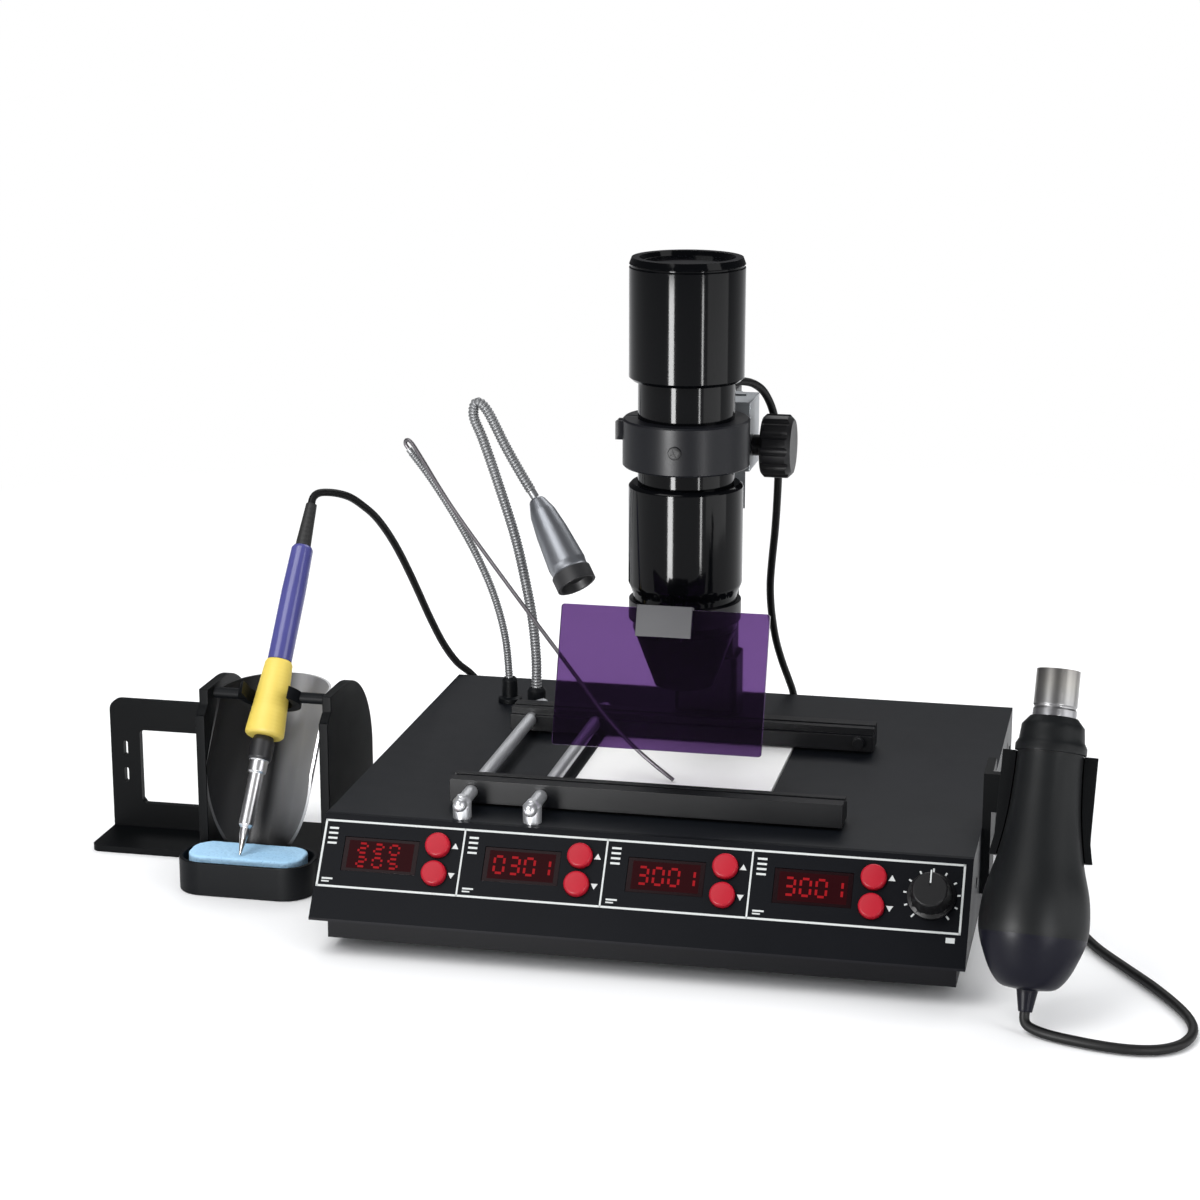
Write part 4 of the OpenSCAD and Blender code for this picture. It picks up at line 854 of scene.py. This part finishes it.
def hose(name, node, route, thick, pitch):
    """A wound hose along a route, ridge by ridge."""
    line = smoothed([place(*p) for p in route], 8)
    radius = thick / 2000
    ridge = pitch / 2000
    step = 2 * ridge * OVERLAP
    guide = route_curve(name + "_guide", line, 0.0)
    bpy.ops.object.select_all(action="DESELECT")
    bpy.ops.mesh.primitive_torus_add(
        major_segments=16, minor_segments=6, major_radius=radius - ridge, minor_radius=ridge,
        rotation=(0, math.radians(90), 0))
    piece = bpy.context.object
    piece.name = name
    bpy.ops.object.transform_apply(location=True, rotation=True, scale=True)
    stack = piece.modifiers.new("stack", "ARRAY")
    stack.use_relative_offset = False
    stack.use_constant_offset = True
    stack.constant_offset_displace = (step, 0, 0)
    stack.count = int((length_of(line) - 2 * ridge) / step)
    bend = piece.modifiers.new("bend", "CURVE")
    bend.object = guide
    bend.deform_axis = "POS_X"
    bpy.ops.object.modifier_apply(modifier="stack")
    bpy.ops.object.modifier_apply(modifier="bend")
    core = tube(name + "_core", line, radius - 0.55 * ridge, 5)
    bpy.ops.object.select_all(action="DESELECT")
    core.select_set(True)
    piece.select_set(True)
    bpy.context.view_layer.objects.active = piece
    bpy.ops.object.join()
    bpy.ops.object.shade_smooth()
    bpy.data.objects.remove(guide)
    piece.data.materials.clear()
    piece.data.materials.append(HOSE)
    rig.replaces(piece, node)
    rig.slot(piece, "gooseneck")
    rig.ride(piece, "base")
    print(name, "faces", len(piece.data.polygons))


hose("light_hose", "light_arm", LIGHT_ROUTE, thick=7, pitch=2.2)
hose("sensor_hose", "sensor_arm", SENSOR_ROUTE, thick=5.4, pitch=1.9)
probe_wire = tube("probe_wire", smoothed([place(*p) for p in PROBE_ROUTE], 8), PROBE_RADIUS, 6)
probe_wire.data.materials.clear()
probe_wire.data.materials.append(PROBE)
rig.replaces(probe_wire, "sensor_probe")
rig.slot(probe_wire, "probe")
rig.ride(probe_wire, "base")

# %% [markdown]
# ## The printed panel
# The sloping panel is screen-printed: a white frame round four cells, thin dividers, a ring of ticks round
# the air knob, an arrow beside each button. Print is a skin of ink, so each mark is a thin bar. All marks
# are laid out flat, joined, and the whole sheet is then tilted onto the slope in one move.

# %% Panel print
SLOPE = math.atan2(51, 37.3)
SLOPE_TOP = 75
INK = 0.12


def bar(x0, x1, s0, s1, thick=INK):
    """A flat mark on the panel, from x0 to x1 across and s0 to s1 down the slope, in millimetres."""
    bpy.ops.mesh.primitive_cube_add(size=0.001)
    mark = bpy.context.object
    mark.scale = (x1 - x0, s1 - s0, thick)
    mark.location = ((x0 + x1) / 2000, -(s0 + s1) / 2000, thick / 2000)
    bpy.ops.object.transform_apply(location=True, rotation=True, scale=True)
    return mark


def wedge(x, s, wide, turn):
    """A small three-cornered arrow mark."""
    bpy.ops.mesh.primitive_cylinder_add(vertices=3, radius=wide / 1000, depth=INK / 1000)
    mark = bpy.context.object
    mark.rotation_euler = (0, 0, turn)
    mark.location = (x / 1000, -s / 1000, INK / 2000)
    bpy.ops.object.transform_apply(location=True, rotation=True, scale=True)
    return mark


def onto_panel(marks, name, material, lift=0.0, body="base"):
    """Joins flat marks and tilts them onto the sloping panel."""
    bpy.ops.object.select_all(action="DESELECT")
    for mark in marks:
        mark.select_set(True)
    bpy.context.view_layer.objects.active = marks[0]
    bpy.ops.object.join()
    sheet = bpy.context.object
    sheet.name = name
    sheet.rotation_euler = (SLOPE, 0, 0)
    up = Vector((0, -math.sin(SLOPE), math.cos(SLOPE))) * lift
    sheet.location = place(0, up.y, SLOPE_TOP + up.z)
    bpy.ops.object.transform_apply(location=True, rotation=True, scale=True)
    sheet.data.materials.clear()
    sheet.data.materials.append(material)
    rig.ride(sheet, body)
    print(name, "faces", len(sheet.data.polygons))


print("panel slopes at", round(math.degrees(SLOPE), 1), "degrees")

# %% [markdown]
# ## Laying out the marks
# The first three cells are equally wide and the last one also holds the air knob. Everything in a cell is
# measured from the cell's left line, and everything down the slope from its upper edge. A short stroke has
# a width, a place down the slope and a height.

# %% Marks
CELLS = (-188, -103.7, -19.4, 64.9)
LEFT, RIGHT = -188, 185
TOP, FOOT = 3.4, 44.2
MIDDLE = 23.3
RULE, DIVIDER = 1.2, 1.0
BUTTON_OFF = 8.4
STROKE_AT = 3
STROKES = [(6.5, 38.6, 1.0), (4.5, 40.4, 0.8)] + [(5.5, 8 + 3 * k, 1.2) for k in range(4)]
CORNER_MARK = (177, 182, 46.2, 49.2)
ARROW_AT, ARROW = 79.6, 2.3
KNOB_AT, TICK_RING = 167.3, 15.1
TICKS, TICK_STEP, FIRST_TICK = 11, 28, -140
TICK, LONG_TICK, TICK_WIDE = 1.8, 2.4, 1.0

marks = [
    bar(LEFT, RIGHT, TOP, TOP + RULE), bar(LEFT, RIGHT, FOOT - RULE, FOOT),
    bar(LEFT, LEFT + RULE, TOP, FOOT), bar(RIGHT - RULE, RIGHT, TOP, FOOT),
    bar(*CORNER_MARK),
]
for edge in CELLS[1:]:
    marks.append(bar(edge - DIVIDER / 2, edge + DIVIDER / 2, TOP, FOOT))
for start in CELLS:
    for wide, down, tall in STROKES:
        marks.append(bar(start + STROKE_AT, start + STROKE_AT + wide, down, down + tall))
    marks.append(wedge(start + ARROW_AT, MIDDLE - BUTTON_OFF, ARROW, 0))
    marks.append(wedge(start + ARROW_AT, MIDDLE + BUTTON_OFF, ARROW, math.pi))
for k in range(TICKS):
    turn = math.radians(FIRST_TICK + TICK_STEP * k)
    long = LONG_TICK if k % 5 == 0 else TICK
    tick = bar(-TICK_WIDE / 2, TICK_WIDE / 2, -long / 2, long / 2)
    tick.rotation_euler = (0, 0, -turn)
    across = KNOB_AT + TICK_RING * math.sin(turn)
    down = MIDDLE - TICK_RING * math.cos(turn)
    tick.location = (across / 1000, -down / 1000, 0)
    bpy.ops.object.transform_apply(location=True, rotation=True, scale=True)
    marks.append(tick)
onto_panel(marks, "panel_print", PRINT)

# %% [markdown]
# ## Lit figures
# Each cell shows its reading on seven-segment tubes behind dark red glass. A figure is up to seven bars; a
# table says which bars each figure lights. The glow is weak in daylight, so the glass shows a dim red field
# behind the figures.

# %% Displays
SEGMENTS = {"0": "abcdef", "1": "bc", "2": "abdeg", "3": "abcdg", "5": "acdfg"}
BARS = {
    "a": (0, 1, 0), "g": (0, 1, 0.5), "d": (0, 1, 1),
    "f": (0, 0, 0), "b": (1, 0, 0), "e": (0, 0, 0.5), "c": (1, 0, 0.5),
}
READINGS = (("220", "205"), ("0301",), ("3001",), ("3001",))
WINDOW_AT, FIELD_HIGH = 13.2, 8.4
FIGURE_THICK, FIELD_THICK = 0.1, 0.05


def figure(text, x, s, wide, tall, step, bold):
    """The bars of a row of figures whose first one starts at x and s."""
    found = []
    for k, letter in enumerate(text):
        left = x + k * step
        for name in SEGMENTS[letter]:
            across, flat, down = BARS[name]
            if flat:
                found.append(bar(left + bold * 0.7, left + wide - bold * 0.7,
                                 s + down * tall - bold / 2, s + down * tall + bold / 2, FIGURE_THICK))
            else:
                edge = left + across * wide
                found.append(bar(edge - bold / 2, edge + bold / 2, s + down * tall + bold * 0.6,
                                 s + down * tall + tall / 2 - bold * 0.6, FIGURE_THICK))
    return found


def glow_finish(name, colour):
    f = Finish(name)
    broad = f.noise(60)
    lit = f.mix(broad, shade(colour, 0.8), shade(colour, 1.1))
    return f.done(Base_Color=rgba(shade(colour, 0.15)), Roughness=0.3 + broad * 0.1, Specular_IOR_Level=0.03,
                  Emission_Color=lit, Emission_Strength=1.0)


FIELD = glow_finish("display_field", (0.022, 0.0010, 0.0024))
FIGURE = glow_finish("display_figure", (0.33, 0.008, 0.012))
fields, figures = [], []
for start, rows in zip(CELLS, READINGS):
    left = start + WINDOW_AT
    fields.append(bar(left + 3, left + 42, MIDDLE - FIELD_HIGH, MIDDLE + FIELD_HIGH, FIELD_THICK))
    if len(rows) == 2:
        for row, down in zip(rows, (16.6, 24.8)):
            figures += figure(row, left + 9, down, wide=5.2, tall=5.6, step=9.5, bold=1.2)
    else:
        figures += figure(rows[0], left + 6.5, 18.4, wide=5.6, tall=9.8, step=9.0, bold=1.4)
onto_panel(fields, "display_fields", FIELD, -0.48)
onto_panel(figures, "display_figures", FIGURE, -0.42)

# %% [markdown]
# ## The knob's pointer and the small screws
# The air knob carries a white line on its face, which turns with it. The cover, the rear panel and the
# lamp's ring are held by small pan-head screws: a short cylinder with rounded edges and a cross cut by two
# bars.

# %% Pointer and screws
KNOB_FACE = 15.0
POINTER_WIDE, POINTER_THICK = 0.8, 0.25
POINTER_OUT, POINTER_IN = 11, 3.5
COVER_SIDE, COVER_HIGH = 189.2, 52
REAR_FACE, REAR_HIGH = 302.2, 66
RING_FACE, RING_HIGH = 91.7, 279.5
QUARTER = math.pi / 2
line_left, line_right = KNOB_AT - POINTER_WIDE / 2, KNOB_AT + POINTER_WIDE / 2
pointer_line = bar(line_left, line_right, MIDDLE - POINTER_OUT, MIDDLE - POINTER_IN, POINTER_THICK)
onto_panel([pointer_line], "knob_pointer", PRINT, KNOB_FACE, "air_knob")


def screw(name, spot, turn, radius, body, material, slot):
    """A pan-head screw standing on a point, its axis turned from straight up."""
    bpy.ops.object.select_all(action="DESELECT")
    bpy.ops.mesh.primitive_cylinder_add(vertices=24, radius=radius / 1000, depth=0.0012)
    head = bpy.context.object
    head.name = name
    bpy.ops.object.mode_set(mode="EDIT")
    bpy.ops.mesh.select_all(action="SELECT")
    bpy.ops.mesh.bevel(offset=0.0004, segments=3, affect="EDGES")
    bpy.ops.object.mode_set(mode="OBJECT")
    for side in (0, QUARTER):
        bpy.ops.mesh.primitive_cube_add(size=0.001, location=(0, 0, 0.0006), rotation=(0, 0, side + 0.4))
        cutter = bpy.context.object
        cutter.scale = (radius * 1.2, 0.5, 0.8)
        cut = head.modifiers.new("slot", "BOOLEAN")
        cut.object = cutter
        cut.operation = "DIFFERENCE"
        bpy.context.view_layer.objects.active = head
        bpy.ops.object.modifier_apply(modifier="slot")
        bpy.data.objects.remove(cutter)
    bpy.ops.object.select_all(action="DESELECT")
    head.select_set(True)
    head.rotation_euler = turn
    head.location = spot
    bpy.ops.object.transform_apply(location=True, rotation=True, scale=True)
    bpy.ops.object.shade_smooth_by_angle(angle=math.radians(40))
    head.data.materials.clear()
    head.data.materials.append(material)
    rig.ride(head, body)
    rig.slot(head, slot)


for count, (side, y) in enumerate([(-1, 30), (-1, 280), (1, 25), (1, 280)]):
    spot = place(side * COVER_SIDE, y, COVER_HIGH)
    screw("cover_screw_%d" % count, spot, (0, side * QUARTER, 0), 3.2, "base", CLIP, "clip")
for count, x in enumerate([-170, 175]):
    spot = place(x, REAR_FACE, REAR_HIGH)
    screw("rear_screw_%d" % count, spot, (-QUARTER, 0, 0), 2.6, "base", CLIP, "clip")
screw("ring_screw", place(0, RING_FACE, RING_HIGH), (QUARTER, 0, 0), 4, "lamp", KNOB, "knob")
print("screws", len([o for o in bpy.data.objects if "_screw" in o.name]))

# %% [markdown]
# ## The sponge
# The wet cellulose sponge lies in its tray. It is a soft block full of holes: the solid is copied, remeshed
# so that it has points everywhere, and a cloud texture pushes those points in and out. Larger pores are
# shading: a bump, and painted shade that darkens their hollows.

# %% Sponge
def sponge_finish():
    f = Finish("sponge_blue")
    cells = f.node("ShaderNodeTexVoronoi", None, {"Vector": f.spot, "Scale": 420})
    broad = f.noise(70)
    # painted shade: the hollows of the pores are darkened in the colour
    pore_shade = cells < 0.22
    tone = f.mix(broad, (0.33, 0.60, 0.86), (0.46, 0.72, 0.94))
    tone = f.mix(pore_shade * 0.35, tone, (0.16, 0.36, 0.62))
    return f.done(Base_Color=tone, Roughness=0.85 + (broad - 0.5) * 0.1, Normal=f.bump(cells, 0.5, 0.0006))


sponge = dress("sponge", sponge_finish(), 1.2, 3)
bpy.context.view_layer.objects.active = sponge
remesh = sponge.modifiers.new("points", "REMESH")
remesh.mode = "VOXEL"
remesh.voxel_size = 0.0009
bpy.ops.object.modifier_apply(modifier="points")
clouds = bpy.data.textures.new("sponge_clouds", "CLOUDS")
clouds.noise_scale = 0.006
push = sponge.modifiers.new("push", "DISPLACE")
push.texture = clouds
push.strength = 0.0006
push.mid_level = 0.75
bpy.ops.object.modifier_apply(modifier="push")
bpy.ops.object.shade_smooth()
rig.padded(sponge, fill=0.4)
print("sponge faces", len(sponge.data.polygons))

# %% [markdown]
# ## The floor
# A product picture is taken on a white sweep. The floor keeps the object's shadow near it and fades to
# plain white further out, so that no horizon shows.

# %% Floor
FADE_START, FADE_END = 0.6, 1.3
bpy.ops.object.select_all(action="DESELECT")
bpy.ops.mesh.primitive_plane_add(size=6.0, location=(0, 0, -0.0002))
floor = bpy.context.object
floor.name = "floor"


def sweep_finish():
    f = Finish("white_sweep")
    tone = f.mix(f.noise(3), (0.93, 0.93, 0.93), (0.95, 0.95, 0.95))
    paper = f.node("ShaderNodeBsdfPrincipled", None, {"Base Color": tone, "Roughness": 0.9})
    far = f.node("ShaderNodeVectorMath", {"operation": "DISTANCE"}, {0: f.spot, 1: (0, 0, 0)}, 1)
    fade = f.ramp(far, FADE_START, FADE_END)
    direct = f.node("ShaderNodeLightPath", out="Is Camera Ray")
    through = f.node("ShaderNodeLightPath", out="Is Transmission Ray")
    white = f.node("ShaderNodeEmission", None, {"Color": rgba((1, 1, 1)), "Strength": 1.0})
    return f.close(f.node("ShaderNodeMixShader", None, {0: fade * (direct + through), 1: paper, 2: white}))


floor.data.materials.append(sweep_finish())
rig.stage(floor)
print("floor", [round(side, 2) for side in floor.dimensions])

# %% [markdown]
# ## The panels of light
# Large soft panels light everything. A tall narrow panel at the left draws the long highlight down the
# lamp's barrel, a thin one and a broad one at the right draw the softer bands. The shield is spared by
# these three, because its flat glossy face would flash white when it is tilted. A panel of its own lifts
# the white plate, which lies in the lamp's shadow.

# %% Light
BARREL_FOOT = (0.063, 0.007, 0.14)
STRIP_TALL = 0.28
STRIPS = (
    ("strip_left", (-0.19, -0.70, 0.14), 0.13, 9.0),
    ("strip_right", (0.55, -0.56, 0.14), 0.04, 1.8),
    ("side_panel", (0.95, -0.25, 0.14), 0.8, 1.7),
)


def panel_light(name, spot, aim, wide, tall, power):
    """A soft rectangular light that faces a point."""
    bpy.ops.object.light_add(type="AREA", location=spot)
    lamp = bpy.context.object
    lamp.name = name
    lamp.data.shape = "RECTANGLE"
    lamp.data.size = wide
    lamp.data.size_y = tall
    lamp.data.energy = power
    lamp.rotation_euler = (Vector(aim) - Vector(spot)).to_track_quat("-Z", "Y").to_euler()
    return lamp


panel_light("key_panel", (-0.9, -1.1, 2.2), (0, 0, 0.1), 1.6, 1.6, 36)
panel_light("right_panel", (1.9, -0.7, 1.1), (0, 0, 0.2), 1.0, 1.4, 13)
panel_light("back_panel", (0.2, 1.8, 1.9), (0, 0, 0.1), 2.4, 1.2, 26)
plate_only = bpy.data.collections.new("lit_by_plate_panel")
plate_only.objects.link(skins["heater_plate"])
plate_panel = panel_light("plate_panel", (0.063, -0.1, 1.56), (0.063, 0, 0.08), 0.8, 0.8, 5.0)
plate_panel.light_linking.receiver_collection = plate_only
plate_panel.light_linking.blocker_collection = plate_only
spared = bpy.data.collections.new("spared_by_strips")
spared.objects.link(skins["eye_shield"])
spared.collection_objects[0].light_linking.link_state = "EXCLUDE"
for name, spot, wide, power in STRIPS:
    strip = panel_light(name, spot, BARREL_FOOT, wide, STRIP_TALL, power)
    strip.visible_camera = False
    strip.visible_diffuse = False
    strip.light_linking.receiver_collection = spared
print("lights", len([o for o in scene.objects if o.type == "LIGHT"]))

# %% [markdown]
# ## The white surround
# The background is white to the camera and through the clear shield. Glossy black would turn grey under it,
# so reflections see a dark room instead, and diffuse surfaces get a light grey one.

# %% World
world = bpy.data.worlds.new("studio")
scene.world = world
world.use_nodes = True
tree = world.node_tree
tree.nodes.clear()
GREY_ROOM = rgba((0.68, 0.69, 0.71))
DARK_ROOM = rgba((0.1, 0.1, 0.105))
WHITE = rgba((1, 1, 1))


def ray(kind):
    """Whether the ray that looks is of one kind."""
    return Wire.make(tree, "ShaderNodeLightPath", out="Is %s Ray" % kind)


def blend_rooms(factor, a, b):
    """One colour or the other, by a factor."""
    return Wire.make(tree, "ShaderNodeMix", {"data_type": "RGBA"}, {0: factor, 6: a, 7: b}, 2)


seen = Wire.make(tree, "ShaderNodeMath", {"operation": "MAXIMUM"}, {0: ray("Camera"), 1: ray("Transmission")})
room = blend_rooms(ray("Glossy"), GREY_ROOM, DARK_ROOM)
tone = blend_rooms(seen, room, WHITE)
ground = Wire.make(tree, "ShaderNodeBackground", None, {"Color": tone, "Strength": 1.0})
tree.links.new(ground.socket, tree.nodes.new("ShaderNodeOutputWorld").inputs[0])
print("world", world.name)

# %% Finish
seen_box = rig.bounds()
json.dump({"cad": [list(c) for c in cad_box], "visual": [list(c) for c in seen_box]}, open("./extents.json", "w"))
print("cad box", cad_box, "visual box", seen_box)
